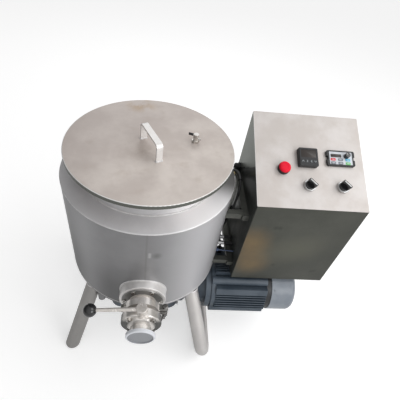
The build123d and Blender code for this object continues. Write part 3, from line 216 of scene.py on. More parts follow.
def newFinish(name, **constants):
    material = bpy.data.materials.new(name)
    material.use_nodes = True
    shader = material.node_tree.nodes["Principled BSDF"]
    for socket, value in constants.items():
        shader.inputs[socket.replace("_", " ")].default_value = value
    return material, material.node_tree, shader


def feed(shader, socket, wire):
    wire.tree.links.new(wire.socket, shader.inputs[socket])


# finishes

steelBase = dict(centre=(0, 0, 0), metallic=1.0, stainAndReflection=0.3, grainTone=0.18, depth=0.02 * mm, relief=0.35,
                 cloudSpan=(0.36, 0.66), smudgeScale=3.1, smudgeSpan=(0.55, 0.8))
paintBase = dict(cloudSpan=(0.35, 0.7), speckSpan=(0.6, 0.78), speckShare=0.25, relief=0.4)
plasticBase = dict(coat=0.0, specular=0.5, relief=0.3)


def steel(name, ownLook, extra=None):    # satin sheet: clouded tone, drawn grain, smudged gloss; on polished fittings the tinted smudges are painted reflection
    look = dict(steelBase, **ownLook)
    material, tree, shader = newFinish(name, Metallic=look["metallic"])
    flat = space(tree, look["centre"])
    cloud = noise(flat, look["cloud"], 5.0, 0.62)
    grain = noise(space(tree, stretch=look["grain"]), 1.0, 3.0)
    smudge = noise(flat, look["cloud"] * look["smudgeScale"], 3.0, 0.5)
    colour = blend(ease(cloud, *look["cloudSpan"]), look["dark"], look["light"])
    colour = blend(ease(smudge, *look["smudgeSpan"]) * look["stainAndReflection"], colour, look["tint"])
    colour = blend(grain * look["grainTone"], colour, look["dark"])
    feed(shader, "Base Color", extra(flat, colour) if extra else colour)
    feed(shader, "Roughness", look["rough"] + (cloud - 0.5) * look["play"] + (grain - 0.5) * look["play"])
    feed(shader, "Normal", relief(grain, look["depth"], look["relief"]))
    return material


def painted(name, ownLook, extra=None):    # casting under paint: fine orange peel, dust in the hollows
    look = dict(paintBase, **ownLook)
    material, tree, shader = newFinish(name, Coat_Weight=look["coat"])
    flat = space(tree)
    cloud = noise(flat, look["cloud"])
    speck = noise(flat, look["speck"], 2.0)
    colour = blend(ease(cloud, *look["cloudSpan"]), look["dark"], look["light"])
    colour = blend(ease(speck, *look["speckSpan"]) * look["speckShare"], colour, look["dust"])
    feed(shader, "Base Color", extra(flat, colour) if extra else colour)
    feed(shader, "Roughness", look["rough"] + (cloud - 0.5) * look["play"])
    feed(shader, "Normal", relief(speck, look["depth"], look["relief"]))
    return material


def plastic(name, ownLook, extra=None):    # moulded plastic: even colour, faint texture, handled gloss
    look = dict(plasticBase, **ownLook)
    material, tree, shader = newFinish(name, Coat_Weight=look["coat"], Specular_IOR_Level=look["specular"])
    flat = space(tree)
    cloud = noise(flat, look["cloud"], 3.0, 0.5)
    texture = noise(flat, look["texture"], 2.0, 0.5)
    colour = blend(cloud, look["dark"], look["light"])
    feed(shader, "Base Color", extra(flat, colour) if extra else colour)
    feed(shader, "Roughness", look["rough"] + (cloud - 0.5) * look["play"])
    feed(shader, "Normal", relief(texture, look["depth"], look["relief"]))
    return material


lidLook = dict(dark=(0.535, 0.475, 0.438), light=(0.67, 0.61, 0.565), tint=(0.46, 0.39, 0.335), cloud=8.0,
               grain=(60, 60, 60), grainTone=0.10, rough=0.46, play=0.10, stainAndReflection=0.5, metallic=0.3,
               centre=vesselAxis, patchScale=34.0, patchSpan=(0.40, 0.64), backSpan=(-0.13, 0.15), backLean=0.8,
               backTone=(0.40, 0.35, 0.335), backShare=0.38, dullLeast=0.25, dullPlay=0.35,
               bloom=dict(places=[(-0.030, 0.172, lidTop)], reach=0.055, share=1.0, tone=(0.44, 0.33, 0.23)),
               dull=dict(places=[(-0.018, -0.028, lidTop)], reach=0.075, share=1.0, tone=(0.37, 0.315, 0.28)),
               # the rim's bright tone is painted highlight and the lip's dark tone below it is painted shade
               rim=(lidRadius - 2.2 * mm, lidRadius - 1.1 * mm), rimHighlightTone=(0.86, 0.85, 0.84),
               lip=(lidTop - 1.76 * mm, lidTop - 0.77 * mm), lipTone=(0.11, 0.115, 0.10))


def lidTone(flat, colour):    # darker towards the back, a heat bloom, marks by the handle, a painted highlight on the rim's fold and painted shade on the lip below it
    x, y, z = split(flat)
    patchy = ease(noise(flat, lidLook["patchScale"]), *lidLook["patchSpan"])
    back = ease(y - x * lidLook["backLean"], *lidLook["backSpan"])
    colour = blend(back * lidLook["backShare"], colour, lidLook["backTone"])
    colour = dab(flat, colour, lidLook["bloom"], patchy)
    colour = dab(flat, colour, lidLook["dull"], lidLook["dullLeast"] + patchy * lidLook["dullPlay"])
    # painted highlight round the rim's top edge, then painted shade down its lip
    outer = ease(radial(x, y), *lidLook["rim"])
    colour = blend(outer, colour, lidLook["rimHighlightTone"])
    return blend(outer * (1 - ease(z, *lidLook["lip"])), colour, lidLook["lipTone"])


shellLook = dict(dark=(0.245, 0.243, 0.248), light=(0.30, 0.298, 0.304), tint=(0.235, 0.232, 0.23), cloud=4.5,
                 grain=(14, 14, 900), grainTone=0.12, rough=0.44, play=0.10, stainAndReflection=0.25, metallic=0.45,
                 centre=vesselAxis, lowLevels=(0.31, 0.53), lowTurns=(-180.0, -155.0, -108.0, -86.0),
                 # the dark low tone is painted shade on the lower left side
                 lowShadeTone=(0.10, 0.10, 0.101), lowShadeShare=0.75,
                 # the two pale sectors are painted reflection; the narrow dark one is the weld seam
                 sectors=((-131.0, 0.0, 19.48, 0.30, (0.55, 0.545, 0.56)),
                          (-43.0, 0.0, 48.13, 1.0, (0.55, 0.545, 0.56)),
                          (-89.0, 0.275, 0.917, 0.45, (0.20, 0.197, 0.197))),
                 smudge=dict(places=[(0.0277, -0.2132, 0.493)], reach=0.016, share=0.7, tone=(0.15, 0.153, 0.15)),
                 brightStreak=dict(places=[(0.0114, -0.2147, level) for level in (0.489, 0.495, 0.501)], reach=0.006,
                              share=0.5, tone=(0.62, 0.62, 0.63)))


def shellTone(flat, colour):    # painted shade low on the left side, pale sectors of painted reflection, a planished weld in front, a dark spot and a bright streak beside it
    x, y, z = split(flat)
    turn = y.angleWith(x)
    start, dark, pale, end = (math.radians(limit) for limit in shellLook["lowTurns"])
    left = ease(turn, start, dark) * (1 - ease(turn, pale, end))
    # painted shade over the lower left side, then the pale sectors of painted reflection
    low = left * (1 - ease(z, *shellLook["lowLevels"])) * shellLook["lowShadeShare"]
    colour = sweep(turn, blend(low, colour, shellLook["lowShadeTone"]), shellLook["sectors"])
    return dab(flat, dab(flat, colour, shellLook["smudge"]), shellLook["brightStreak"])


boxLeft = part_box("control_box")[0].x - vesselAxis.x
boxFront = -0.1169    # from the vessel's axis, as the spots are


def frontSpots(spots, reach, share, tone):
    return dict(places=[(across, boxFront, level) for across, level in spots], reach=reach, share=share, tone=tone)


# the sheet's very dark base colour is painted dark reflection
boxLook = dict(dark=(0.054, 0.056, 0.046), light=(0.074, 0.076, 0.063), tint=(0.046, 0.046, 0.038), cloud=7.0,
               grain=(500, 500, 10), grainTone=0.10, rough=0.42, play=0.10, stainAndReflection=0.35, metallic=0.5,
               centre=vesselAxis, patchScale=16.0, patchSpan=(0.30, 0.66), brownLeast=0.6, brownPlay=0.4,
               brown=frontSpots(((0.272, 0.444), (0.284, 0.398), (0.298, 0.345)), 0.072, 0.85,
                                (0.195, 0.133, 0.062)),
               pale=frontSpots(((0.360, 0.400), (0.425, 0.420)), 0.085, 0.45, (0.125, 0.125, 0.092)),
               dim=frontSpots(((0.520, 0.300), (0.530, 0.400), (0.530, 0.490)), 0.085, 0.45, (0.036, 0.037, 0.030)),
               marks=frontSpots(((0.322, 0.499), (0.333, 0.499), (0.361, 0.341), (0.482, 0.316), (0.490, 0.319)),
                                0.010, 0.55, (0.026, 0.028, 0.022)),
               frontSpan=(boxFront + 1.0 * mm, boxFront + 3.0 * mm),
               leftSpan=(boxLeft + 0.6 * mm, boxLeft + 1.6 * mm),
               # on the left side the pale upper tone is painted reflection and the dark lower tone is painted shade
               sideReflectionTone=(0.30, 0.32, 0.29), sideShadeTone=(0.040, 0.045, 0.041), sideSmear=(0.115, 0.12, 0.108),
               sideShadeEdge=(0.507, 0.612, 0.1027, -0.0232), lineSoft=3.0 * mm, lineStray=6.0 * mm,
               smearStretch=(9, 9, 5), smearScale=1.6, smearSpan=(0.48, 0.72), smearShare=0.8)


def boxTone(flat, colour):    # rubbed brown patch and finger marks in front; on the left side painted reflection above painted shade with smears
    x, y, z = split(flat)
    patchy = ease(noise(flat, boxLook["patchScale"]), *boxLook["patchSpan"])
    front = 1 - ease(y, *boxLook["frontSpan"])
    colour = dab(flat, colour, boxLook["brown"], front * (boxLook["brownLeast"] + patchy * boxLook["brownPlay"]))
    for spots in ("pale", "dim", "marks"):
        colour = dab(flat, colour, boxLook[spots], front)
    left = 1 - ease(x, *boxLook["leftSpan"])
    # the edge between the painted reflection above and the painted shade below
    foot, head, back, fore = boxLook["sideShadeEdge"]
    line = z - foot - (y - back) * ((head - foot) / (fore - back))
    stretched = space(flat.tree, vesselAxis, boxLook["smearStretch"])
    smear = ease(noise(stretched, boxLook["smearScale"]), *boxLook["smearSpan"])
    low = blend(smear * boxLook["smearShare"], boxLook["sideShadeTone"], boxLook["sideSmear"])
    reflectedUpper = ease(line + (patchy - 0.5) * boxLook["lineStray"], -boxLook["lineSoft"], boxLook["lineSoft"])
    return blend(left, colour, blend(reflectedUpper, low, boxLook["sideReflectionTone"]))


panelLow, panelHigh = (corner.x - vesselAxis.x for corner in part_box("control_panel"))
panelLook = dict(dark=(0.575, 0.53, 0.50), light=(0.675, 0.64, 0.62), tint=(0.53, 0.475, 0.435), cloud=9.0,
                 grain=(12, 700, 700), grainTone=0.07, rough=0.48, play=0.08, stainAndReflection=0.35, metallic=0.25,
                 # the bright edge tone is painted highlight
                 centre=vesselAxis, edge=(-1.4 * mm, -0.7 * mm), edgeGlintTone=(0.86, 0.85, 0.83))


def panelTone(flat, colour):    # painted highlight along the folded side edges
    x, y, z = split(flat)
    away = abs(x - (panelLow + panelHigh) / 2) - (panelHigh - panelLow) / 2
    return blend(ease(away, *panelLook["edge"]), colour, panelLook["edgeGlintTone"])


padLook = dict(dark=(0.80, 0.78, 0.765), light=(0.92, 0.90, 0.885), tint=(0.58, 0.555, 0.53), cloud=30.0,
               grain=(120, 120, 120), grainTone=0.08, rough=0.34, play=0.08, metallic=0.45, centre=outletAxis,
               ringPitch=1.7 * mm, ringSpan=(0.2, 2.0), ringShare=0.35)


def padTone(flat, colour):    # rings left by turning
    x, y, z = split(flat)
    rings = ripple(radial(x, z), padLook["ringPitch"]) + ripple(y, padLook["ringPitch"])
    return blend(ease(rings, *padLook["ringSpan"]) * padLook["ringShare"], colour, padLook["tint"])


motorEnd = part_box("fan_cover")[0].x
motorLook = dict(dark=(0.046, 0.064, 0.085), light=(0.078, 0.100, 0.126), dust=(0.16, 0.185, 0.21), cloud=14.0,
                 speck=420.0, rough=0.44, play=0.14, coat=0.08, depth=0.06 * mm,
                 # the near-black ring tone is painted shade in the recess before the fan cover
                 ring=(motorEnd - 16.0 * mm, motorEnd - 15.0 * mm), ringTone=(0.012, 0.013, 0.015))


def motorTone(flat, colour):    # painted shade: the recessed ring in front of the fan cover is coloured near black
    x, y, z = split(flat)
    return blend(ease(x, *motorLook["ring"]), colour, motorLook["ringTone"])


# on polished fittings the brown tint laid through the smudge mask is painted reflection
polishedLook = dict(dark=(0.48, 0.46, 0.44), light=(0.74, 0.72, 0.69), tint=(0.34, 0.295, 0.25), cloud=22.0,
                    grain=(160, 160, 160), rough=0.15, play=0.08, stainAndReflection=0.35, depth=0.01 * mm)
flangeLook = dict(polishedLook, dark=(0.19, 0.187, 0.18), light=(0.27, 0.265, 0.257), rough=0.30, metallic=0.55,
                  # the stub's bright tone is painted reflection
                  stub=(33.0 * mm, 34.0 * mm), stubReflectionTone=(0.86, 0.82, 0.785))
valveLook = dict(polishedLook, dark=(0.66, 0.63, 0.60), light=(0.92, 0.885, 0.85), rough=0.20, metallic=0.6,
                 # the near-black tone on the flanges' lower halves is painted dark reflection
                 darkReflectionReach=(28.0 * mm, 36.0 * mm), darkReflectionRise=(10.0 * mm, 36.0 * mm), darkReflectionTone=(0.022, 0.023, 0.020),
                 darkReflectionShare=0.94)
clampLook = dict(valveLook, ears=(43.0 * mm, 46.0 * mm), earTone=(0.075, 0.075, 0.068), earShare=0.85)


def aroundOutlet(flat, drop=0.0):    # distance from the outlet's axis, and height over it
    x, y, z = split(space(flat.tree, outletAxis))
    return radial(x, z + drop), z


def flangeTone(flat, colour):    # the stub is painted brighter than the disc behind it, as a painted reflection
    reach, rise = aroundOutlet(flat)
    return blend(ease(reach, *flangeLook["stub"]), flangeLook["stubReflectionTone"], colour)


def valveTone(flat, colour):    # painted dark reflection on the flanges' lower halves
    reach, rise = aroundOutlet(flat)
    reflectedFloor = ease(reach, *valveLook["darkReflectionReach"]) * (1 - ease(rise, *valveLook["darkReflectionRise"]))
    return blend(reflectedFloor * valveLook["darkReflectionShare"], colour, valveLook["darkReflectionTone"])


def clampTone(flat, colour):    # the clamp's ears are darker than its ring
    reach, rise = aroundOutlet(flat)
    return blend(ease(reach, *clampLook["ears"]) * clampLook["earShare"], colour, clampLook["earTone"])


shoulderLook = dict(dark=(0.58, 0.572, 0.582), light=(0.66, 0.652, 0.662), tint=(0.47, 0.455, 0.45), cloud=8.0,
                    grain=(70, 70, 500), grainTone=0.10, rough=0.45, play=0.10, metallic=0.25, centre=vesselAxis,
                    # the bright front sector is painted highlight; the dark sector facing the box is painted shade
                    sectors=((-52.0, 4.0, 34.0, 0.9, (0.94, 0.925, 0.93)),
                             (25.0, 36.0, 56.0, 0.9, (0.08, 0.078, 0.074))))


def shoulderTone(flat, colour):    # painted highlight in front, painted shade where the shoulder faces the box
    x, y, z = split(flat)
    return sweep(y.angleWith(x), colour, shoulderLook["sectors"])


ventLook = dict(rough=0.26, chrome=(0.74, 0.73, 0.71), chromeDark=(0.34, 0.32, 0.30), cloud=160.0, depth=0.03 * mm,
                relief=0.3, sleeve=(7.4 * mm, 7.8 * mm), sleeveTone=(0.010, 0.010, 0.011))


def ventLever(name, look):    # chromed arm in a black sleeve
    material, tree, shader = newFinish(name, Roughness=look["rough"])
    flat = space(tree, ventAxis)
    x, y, z = split(flat)
    sleeved = ease(radial(x, y), *look["sleeve"])
    cloud = noise(flat, look["cloud"], 3.0)
    feed(shader, "Base Color", blend(sleeved, blend(cloud, look["chromeDark"], look["chrome"]), look["sleeveTone"]))
    feed(shader, "Metallic", 1 - sleeved)
    feed(shader, "Normal", relief(cloud, look["depth"], look["relief"]))
    return material


nutLook = dict(polishedLook, dark=(0.10, 0.099, 0.094), light=(0.36, 0.35, 0.335), rough=0.14)
leverLook = dict(polishedLook, dark=(0.60, 0.565, 0.53), light=(0.78, 0.745, 0.71), cloud=70.0, rough=0.26,
                 metallic=0.5)
handleLook = dict(polishedLook, dark=(0.78, 0.76, 0.74), light=(0.87, 0.86, 0.85), tint=(0.70, 0.60, 0.52),
                  cloud=26.0, rough=0.30, stainAndReflection=0.3, metallic=0.3)
# the left legs' darker tones are painted shade; the hoop's paler copy below is painted light
shadedLegLook = dict(dark=(0.32, 0.31, 0.30), light=(0.38, 0.37, 0.358), tint=(0.28, 0.27, 0.255), cloud=9.0,
               grain=(60, 60, 60), grainTone=0.06, rough=0.40, play=0.08, stainAndReflection=0.25, metallic=0.65)
litHoopLook = dict(shadedLegLook, dark=(0.52, 0.50, 0.49), light=(0.60, 0.58, 0.565), tint=(0.45, 0.43, 0.41))
machinedLook = dict(dark=(0.40, 0.40, 0.41), light=(0.54, 0.54, 0.55), tint=(0.34, 0.33, 0.31), cloud=30.0,
                    grain=(300, 300, 300), rough=0.30, play=0.12)
bracketLook = dict(dark=(0.085, 0.088, 0.078), light=(0.125, 0.128, 0.115), tint=(0.07, 0.07, 0.06), cloud=18.0,
                   grain=(60, 60, 60), grainTone=0.1, rough=0.42, play=0.10, metallic=0.6)
bezelLook = dict(dark=(0.42, 0.42, 0.42), light=(0.60, 0.60, 0.60), tint=(0.36, 0.36, 0.36), cloud=60.0,
                 grain=(400, 400, 400), rough=0.22, play=0.08)
brassLook = dict(dark=(0.72, 0.54, 0.25), light=(0.88, 0.72, 0.42), tint=(0.52, 0.37, 0.18), cloud=60.0,
                 grain=(400, 400, 400), rough=0.28, play=0.10, metallic=0.5)
bronzeLook = dict(dark=(0.50, 0.36, 0.18), light=(0.64, 0.48, 0.27), tint=(0.34, 0.24, 0.12), cloud=40.0,
                  grain=(300, 300, 300), rough=0.33, play=0.10)
gearboxLook = dict(motorLook, dark=(0.045, 0.060, 0.078), light=(0.078, 0.096, 0.118))
fanCoverLook = dict(motorLook, dark=(0.20, 0.225, 0.26), light=(0.255, 0.285, 0.325), dust=(0.37, 0.40, 0.44),
                    rough=0.36)
blackGlossLook = dict(dark=(0.008, 0.008, 0.009), light=(0.014, 0.014, 0.016), cloud=30.0, texture=500.0,
                      rough=0.14, play=0.06, coat=0.3, depth=0.01 * mm)
blackPlasticLook = dict(dark=(0.010, 0.010, 0.011), light=(0.024, 0.024, 0.026), cloud=40.0, texture=1400.0,
                        rough=0.50, play=0.12, depth=0.05 * mm)
redLensLook = dict(dark=(0.78, 0.003, 0.022), light=(0.95, 0.006, 0.040), cloud=60.0, texture=300.0,
                   rough=0.42, play=0.06, depth=0.03 * mm, specular=0.25, foot=(5.4 * mm, 6.2 * mm),
                   footTone=(0.012, 0.010, 0.011))


def lensTone(flat, colour):    # the lens's foot is black, as its bezel is
    x, y, z = split(space(flat.tree, lampSeat.translation))
    lift = y * panelNormal.y + z * panelNormal.z
    return blend(ease(lift, *redLensLook["foot"]), redLensLook["footTone"], colour)


whitePlasticLook = dict(dark=(0.66, 0.68, 0.72), light=(0.76, 0.78, 0.81), cloud=25.0, texture=900.0,
                        rough=0.42, play=0.12, depth=0.03 * mm)
capLook = dict(whitePlasticLook, dark=(0.68, 0.70, 0.74), light=(0.80, 0.82, 0.86), recess=(30.3 * mm, 31.5 * mm),
               sunk=1.5 * mm, recessTone=(0.26, 0.27, 0.29), recessCloud=130.0, cloudShare=0.4, ringPitch=5.0 * mm,
               ringSpan=(0.5, 1.0), ringShare=0.5, ringTone=(0.33, 0.34, 0.365))


def capTone(flat, colour):    # a greyer sunk face with mould rings, down over the white rim's lower edge
    reach, rise = aroundOutlet(flat, capLook["sunk"])
    rings = ease(ripple(reach, capLook["ringPitch"]), *capLook["ringSpan"])
    cloud = noise(flat, capLook["recessCloud"])
    face = blend(cloud * capLook["cloudShare"], capLook["recessTone"], capLook["ringTone"])
    face = blend(rings * capLook["ringShare"], face, capLook["ringTone"])
    return blend(ease(reach, *capLook["recess"]), face, colour)


sealLook = dict(dark=(0.70, 0.69, 0.66), light=(0.8, 0.79, 0.76), cloud=30.0, texture=900.0,
                rough=0.6, play=0.1, depth=0.04 * mm)
greyLeadLook = dict(dark=(0.30, 0.30, 0.29), light=(0.48, 0.48, 0.46), cloud=90.0, texture=1500.0,
                    rough=0.4, play=0.12, depth=0.08 * mm)
blueWireLook = dict(dark=(0.07, 0.10, 0.19), light=(0.11, 0.15, 0.26), cloud=60.0, texture=900.0,
                    rough=0.4, play=0.1, depth=0.03 * mm)

finishes = {
    "satin_steel": steel("satinShell", shellLook, shellTone),
    "shoulder_steel": steel("satinShoulder", shoulderLook, shoulderTone),
    "lid_steel": steel("satinLid", lidLook, lidTone),
    "polished_steel": steel("polishedFittings", polishedLook),
    "leg_steel": steel("shadedSatinTube", shadedLegLook),
    "machined_steel": steel("machinedSteel", machinedLook),
    "box_steel": steel("boxSheet", boxLook, boxTone),
    "panel_steel": steel("panelSheet", panelLook, panelTone),
    "bezel_metal": steel("bezelMetal", bezelLook),
    "brass": steel("probeBrass", brassLook),
    "gear_bronze": steel("gearBronze", bronzeLook),
    "gearbox_alloy": painted("gearboxPaint", gearboxLook),
    "motor_paint": painted("motorPaint", motorLook),
    "fan_cover_paint": painted("fanCoverPaint", fanCoverLook),
    "black_gloss": plastic("blackGloss", blackGlossLook),
    "black_plastic": plastic("blackPlastic", blackPlasticLook),
    "red_lens": plastic("redLens", redLensLook, lensTone),
    "white_plastic": plastic("whitePlastic", whitePlasticLook),
    "seal_rubber": plastic("sealRubber", sealLook),
    "grey_lead": plastic("greyLead", greyLeadLook),
    "blue_wire": plastic("blueWire", blueWireLook),
}
ownFinishes = {    # nodes that look unlike the rest of their slot
    "outlet_pad": steel("turnedPad", padLook, padTone),
    "outlet_flange": steel("dullFlange", flangeLook, flangeTone),
    "valve_body_front": steel("valveFront", valveLook, valveTone),
    "valve_body_rear": steel("valveRear", valveLook, valveTone),
    "clamp_halves": steel("brightClamp", clampLook, clampTone),
    "clamp_bolt": steel("darkBolt", nutLook),
    "clamp_wing_nut": steel("darkNut", nutLook),
    "valve_lever": steel("paleLever", leverLook),
    "lid_handle": steel("paleHandle", handleLook),
    "outlet_cap": plastic("mouldedCap", capLook, capTone),
    "box_brackets": steel("bracketBar", bracketLook),
    "right_leg_hoop": steel("litHoop", litHoopLook),
    "motor_body": painted("motorBodyPaint", motorLook, motorTone),
    "vent_cock_lever": ventLever("sleevedLever", ventLook),
}
for subpart in frame["record"]["subparts"]:
    mesh = nodes[subpart["node"]].data
    mesh.materials.clear()
    mesh.materials.append(ownFinishes.get(subpart["node"], finishes[subpart["material_slot"]]))


# stage: floor, world, lamps and camera

stageLook = dict(floorSize=12.0, floorTone=(0.82, 0.82, 0.82, 1), floorRough=0.9, lift=0.42, glossLift=0.3,
                 brightSide=(0.70, -0.50, 0.50), brightSpan=(-0.75, 0.85), dimLevel=0.04, brightLevel=0.80,
                 dimGloss=0.12, brightGloss=1.0)
lampLook = [
    dict(name="keyLamp", place=(1.5, -0.2, 2.1), aim=(0.05, 0, 0.4), size=1.3, power=10.0),
    dict(name="sideLamp", place=(1.25, -1.55, 1.15), aim=(-0.1, -0.1, 0.4), size=1.0, power=11.0),
    dict(name="backLamp", place=(-0.1, 1.7, 1.9), aim=(0.0, 0, 0.5), size=1.5, power=7.0),
]
cameraLook = dict(place=fromVessel(5.2, -679.2, 1140.8), yaw=0.125, pitch=0.821, roll=-0.144,
                  focalPixels=352.1, middlePixel=(179.1, 213.9), framePixels=400, clip=0.01)


def rays(tree, kind):
    return Wire.node(tree, "LightPath", output="Is " + kind + " Ray")


def makeFloor():
    bm = bmesh.new()
    bmesh.ops.create_grid(bm, x_segments=1, y_segments=1, size=stageLook["floorSize"] / 2)
    mesh = bpy.data.meshes.new("paleFloor")
    bm.to_mesh(mesh)
    bm.free()
    floor = bpy.data.objects.new("paleFloor", mesh)
    scene.collection.objects.link(floor)
    material, tree, shader = newFinish("paleFloor", Base_Color=stageLook["floorTone"],
                                       Roughness=stageLook["floorRough"], Emission_Strength=1.0)
    seen = rays(tree, "Camera") + rays(tree, "Transmission") + rays(tree, "Glossy") * stageLook["glossLift"]
    shown = seen * stageLook["lift"]
    feed(shader, "Emission Color", Wire.node(tree, "CombineColor", {}, {0: shown, 1: shown, 2: shown}))
    mesh.materials.append(material)


def makeWorld():
    world = bpy.data.worlds.new("whiteStudio")
    scene.world = world
    world.use_nodes = True
    tree = world.node_tree
    background = tree.nodes["Background"]
    background.inputs["Color"].default_value = (1, 1, 1, 1)
    way = Wire.node(tree, "TexCoord", output="Generated")
    facing = Wire.node(tree, "VectorMath", {"operation": "DOT_PRODUCT"},
                       {0: way, 1: Vector(stageLook["brightSide"]).normalized()}, "Value")
    side = ease(facing, *stageLook["brightSpan"])
    lit = stageLook["dimLevel"] + side * (stageLook["brightLevel"] - stageLook["dimLevel"])
    shine = stageLook["dimGloss"] + side * (stageLook["brightGloss"] - stageLook["dimGloss"])
    level = lit + rays(tree, "Glossy") * (shine - lit)
    feed(background, "Strength", level + (rays(tree, "Camera") + rays(tree, "Transmission")) * (1 - level))


def makeLamp(look):
    data = bpy.data.lights.new(look["name"], "AREA")
    data.size = look["size"]
    data.energy = look["power"]
    lamp = bpy.data.objects.new(look["name"], data)
    scene.collection.objects.link(lamp)
    lamp.location = look["place"]
    lamp.rotation_euler = (Vector(look["aim"]) - Vector(look["place"])).to_track_quat("-Z", "Y").to_euler()


def makeCamera():
    data = bpy.data.cameras.new("photoCamera")
    frameSize = cameraLook["framePixels"]
    data.lens = cameraLook["focalPixels"] / frameSize * data.sensor_width
    across, down = cameraLook["middlePixel"]
    data.shift_x = 0.5 - across / frameSize
    data.shift_y = down / frameSize - 0.5
    data.clip_start = cameraLook["clip"]
    camera = bpy.data.objects.new("photoCamera", data)
    scene.collection.objects.link(camera)
    heading = Euler((math.pi / 2 - cameraLook["pitch"], 0, -cameraLook["yaw"])).to_matrix()
    rolled = heading @ Matrix.Rotation(-cameraLook["roll"], 3, "Z")
    camera.matrix_world = Matrix.Translation(cameraLook["place"]) @ rolled.to_4x4()
    scene.camera = camera


makeFloor()
makeWorld()
for look in lampLook:
    makeLamp(look)
makeCamera()
scene.view_settings.view_transform = "Standard"
print("stage, lamps and camera set")


# mesh helpers

nearly = 0.001 * mm    # a top is found within this
ringSides = 10    # round a bead's own section
pieceLook = dict(merge=0.002 * mm, sharpTurn=38.0)


def freshVerts(bm, before):
    return [vert for vert in bm.verts if vert not in before]


def bevelEdges(bm, edges, width, steps):
    bmesh.ops.bevel(bm, geom=edges, offset=width, offset_type="OFFSET", affect="EDGES", segments=steps,
                    profile=0.5, material=-1)


def onTop(items, before, height):    # edges or faces at the top of what is being made
    return [item for item in items
            if all(vert not in before and vert.co.z > height - nearly for vert in item.verts)]


def addRing(bm, radius, section, place, steps):    # a bead or band spun round +Z
    before = set(bm.verts)
    upright = Matrix.Translation((radius, 0, 0)) @ Matrix.Rotation(math.pi / 2, 4, "X")
    start = bmesh.ops.create_circle(bm, segments=ringSides, radius=section, matrix=upright)["verts"]
    edges = list({edge for vert in start for edge in vert.link_edges})
    bmesh.ops.spin(bm, geom=start + edges, cent=(0, 0, 0), axis=(0, 0, 1), dvec=(0, 0, 0),
                   angle=2 * math.pi, steps=steps, use_merge=True, use_normal_flip=False, use_duplicate=False)
    verts = freshVerts(bm, before)
    bmesh.ops.transform(bm, matrix=place, verts=verts)
    return verts


def addSlab(bm, size, soft, place):    # a block with round corners and a softened top
    corner, edge = soft
    before = set(bm.verts)
    made = bmesh.ops.create_cube(bm, size=1, matrix=Matrix.Diagonal((*size, 1)))["verts"]
    edges = {rim for vert in made for rim in vert.link_edges}
    upright = [rim for rim in edges if abs(rim.verts[0].co.z - rim.verts[1].co.z) > size[2] / 2]
    bevelEdges(bm, upright, corner, 4)
    bevelEdges(bm, onTop(bm.edges, before, size[2] / 2), edge, 2)
    bmesh.ops.transform(bm, matrix=place, verts=freshVerts(bm, before))


def addDrum(bm, radius, height, edge, place, sides, steps=2, socket=None):    # a round or hexagonal head on +Z
    before = set(bm.verts)
    lift = Matrix.Translation((0, 0, height / 2))
    bmesh.ops.create_cone(bm, cap_ends=True, segments=sides, radius1=radius, radius2=radius, depth=height,
                          matrix=lift)
    bevelEdges(bm, onTop(bm.edges, before, height), edge, steps)
    if socket:    # a sunk drive, given as its rim and depth
        crown = onTop(bm.faces, before, height)
        bmesh.ops.inset_region(bm, faces=crown, thickness=socket[0], depth=0)
        floor = bmesh.ops.extrude_discrete_faces(bm, faces=crown)["faces"]
        sunk = list({vert for face in floor for vert in face.verts})
        bmesh.ops.translate(bm, vec=(0, 0, -socket[1]), verts=sunk)
    bmesh.ops.transform(bm, matrix=place, verts=freshVerts(bm, before))


def addPiece(name, bm, body, slotName, finish=None):
    bmesh.ops.remove_doubles(bm, verts=bm.verts, dist=pieceLook["merge"])
    bmesh.ops.recalc_face_normals(bm, faces=bm.faces)
    mesh = bpy.data.meshes.new(name)
    bm.to_mesh(mesh)
    bm.free()
    mesh.shade_smooth()
    mesh.set_sharp_from_angle(angle=math.radians(pieceLook["sharpTurn"]))
    mesh.materials.append(finish or finishes[slotName])
    piece = bpy.data.objects.new(name, mesh)
    scene.collection.objects.link(piece)
    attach(piece, body)
    return piece


def addSlabPiece(name, size, soft, place, body, slotName, finish):
    bm = bmesh.new()
    addSlab(bm, size, soft, place)
    addPiece(name, bm, body, slotName, finish)


# the motor's lead in its sleeve, and the probe's braided lead

motorLead = dict(route=((238.7, 88, 522), (218.7, 88, 522), (222, 62, 526.8), (236, 46, 536), (237, 22, 546.1),
                        (234, -8, 553.9), (232, -26, 548), (231, -32, 523.1), (230, -31, 496),
                        (229, -30, 471.1), (226, -18, 422.9), (223, -3, 365.9), (222.5, 20, 324.9),
                        (223, 29, 284.9), (243.5, 25, 258), (243.5, 25, 216)),
                 fineness=48, step=1.6 * mm, sides=14, radius=3.2 * mm, length=0.486, sleeve=118.0 * mm,
                 sleeveRadius=5.7 * mm, sleeveStep=0.55 * mm, sleeveSides=16, rib=0.3 * mm, ribPitch=3.6 * mm)
probeLead = dict(route=((224, 24.6, 538), (227, 4.8, 538), (226, -11, 518), (225, -12, 491.9), (224, -8, 460.1),
                        (223, 6, 426), (221, 26, 402.1), (219, 42, 388.9), (224.7, 52, 385), (238.7, 52, 385)),
                 fineness=40, step=1.6 * mm, sides=18, radius=5.0 * mm, length=0.215, crimp=14.0 * mm,
                 crimpRadius=5.5 * mm, crimpStep=1.0 * mm, crimpSides=24)


def routeLine(route, fineness):    # the smooth line of a route, as its own curve gives it
    data = bpy.data.curves.new("leadRoute", "CURVE")
    data.dimensions = "3D"
    spline = data.splines.new("NURBS")
    spline.points.add(len(route) - 1)
    for spot, place in zip(spline.points, route):
        spot.co = (*fromVessel(*place), 1)
    spline.order_u = 3
    spline.use_endpoint_u = True
    spline.resolution_u = fineness
    holder = bpy.data.objects.new("leadRoute", data)
    mesh = bpy.data.meshes.new_from_object(holder)
    line = [vert.co.copy() for vert in mesh.vertices]
    bpy.data.objects.remove(holder)
    bpy.data.curves.remove(data)
    bpy.data.meshes.remove(mesh)
    return line


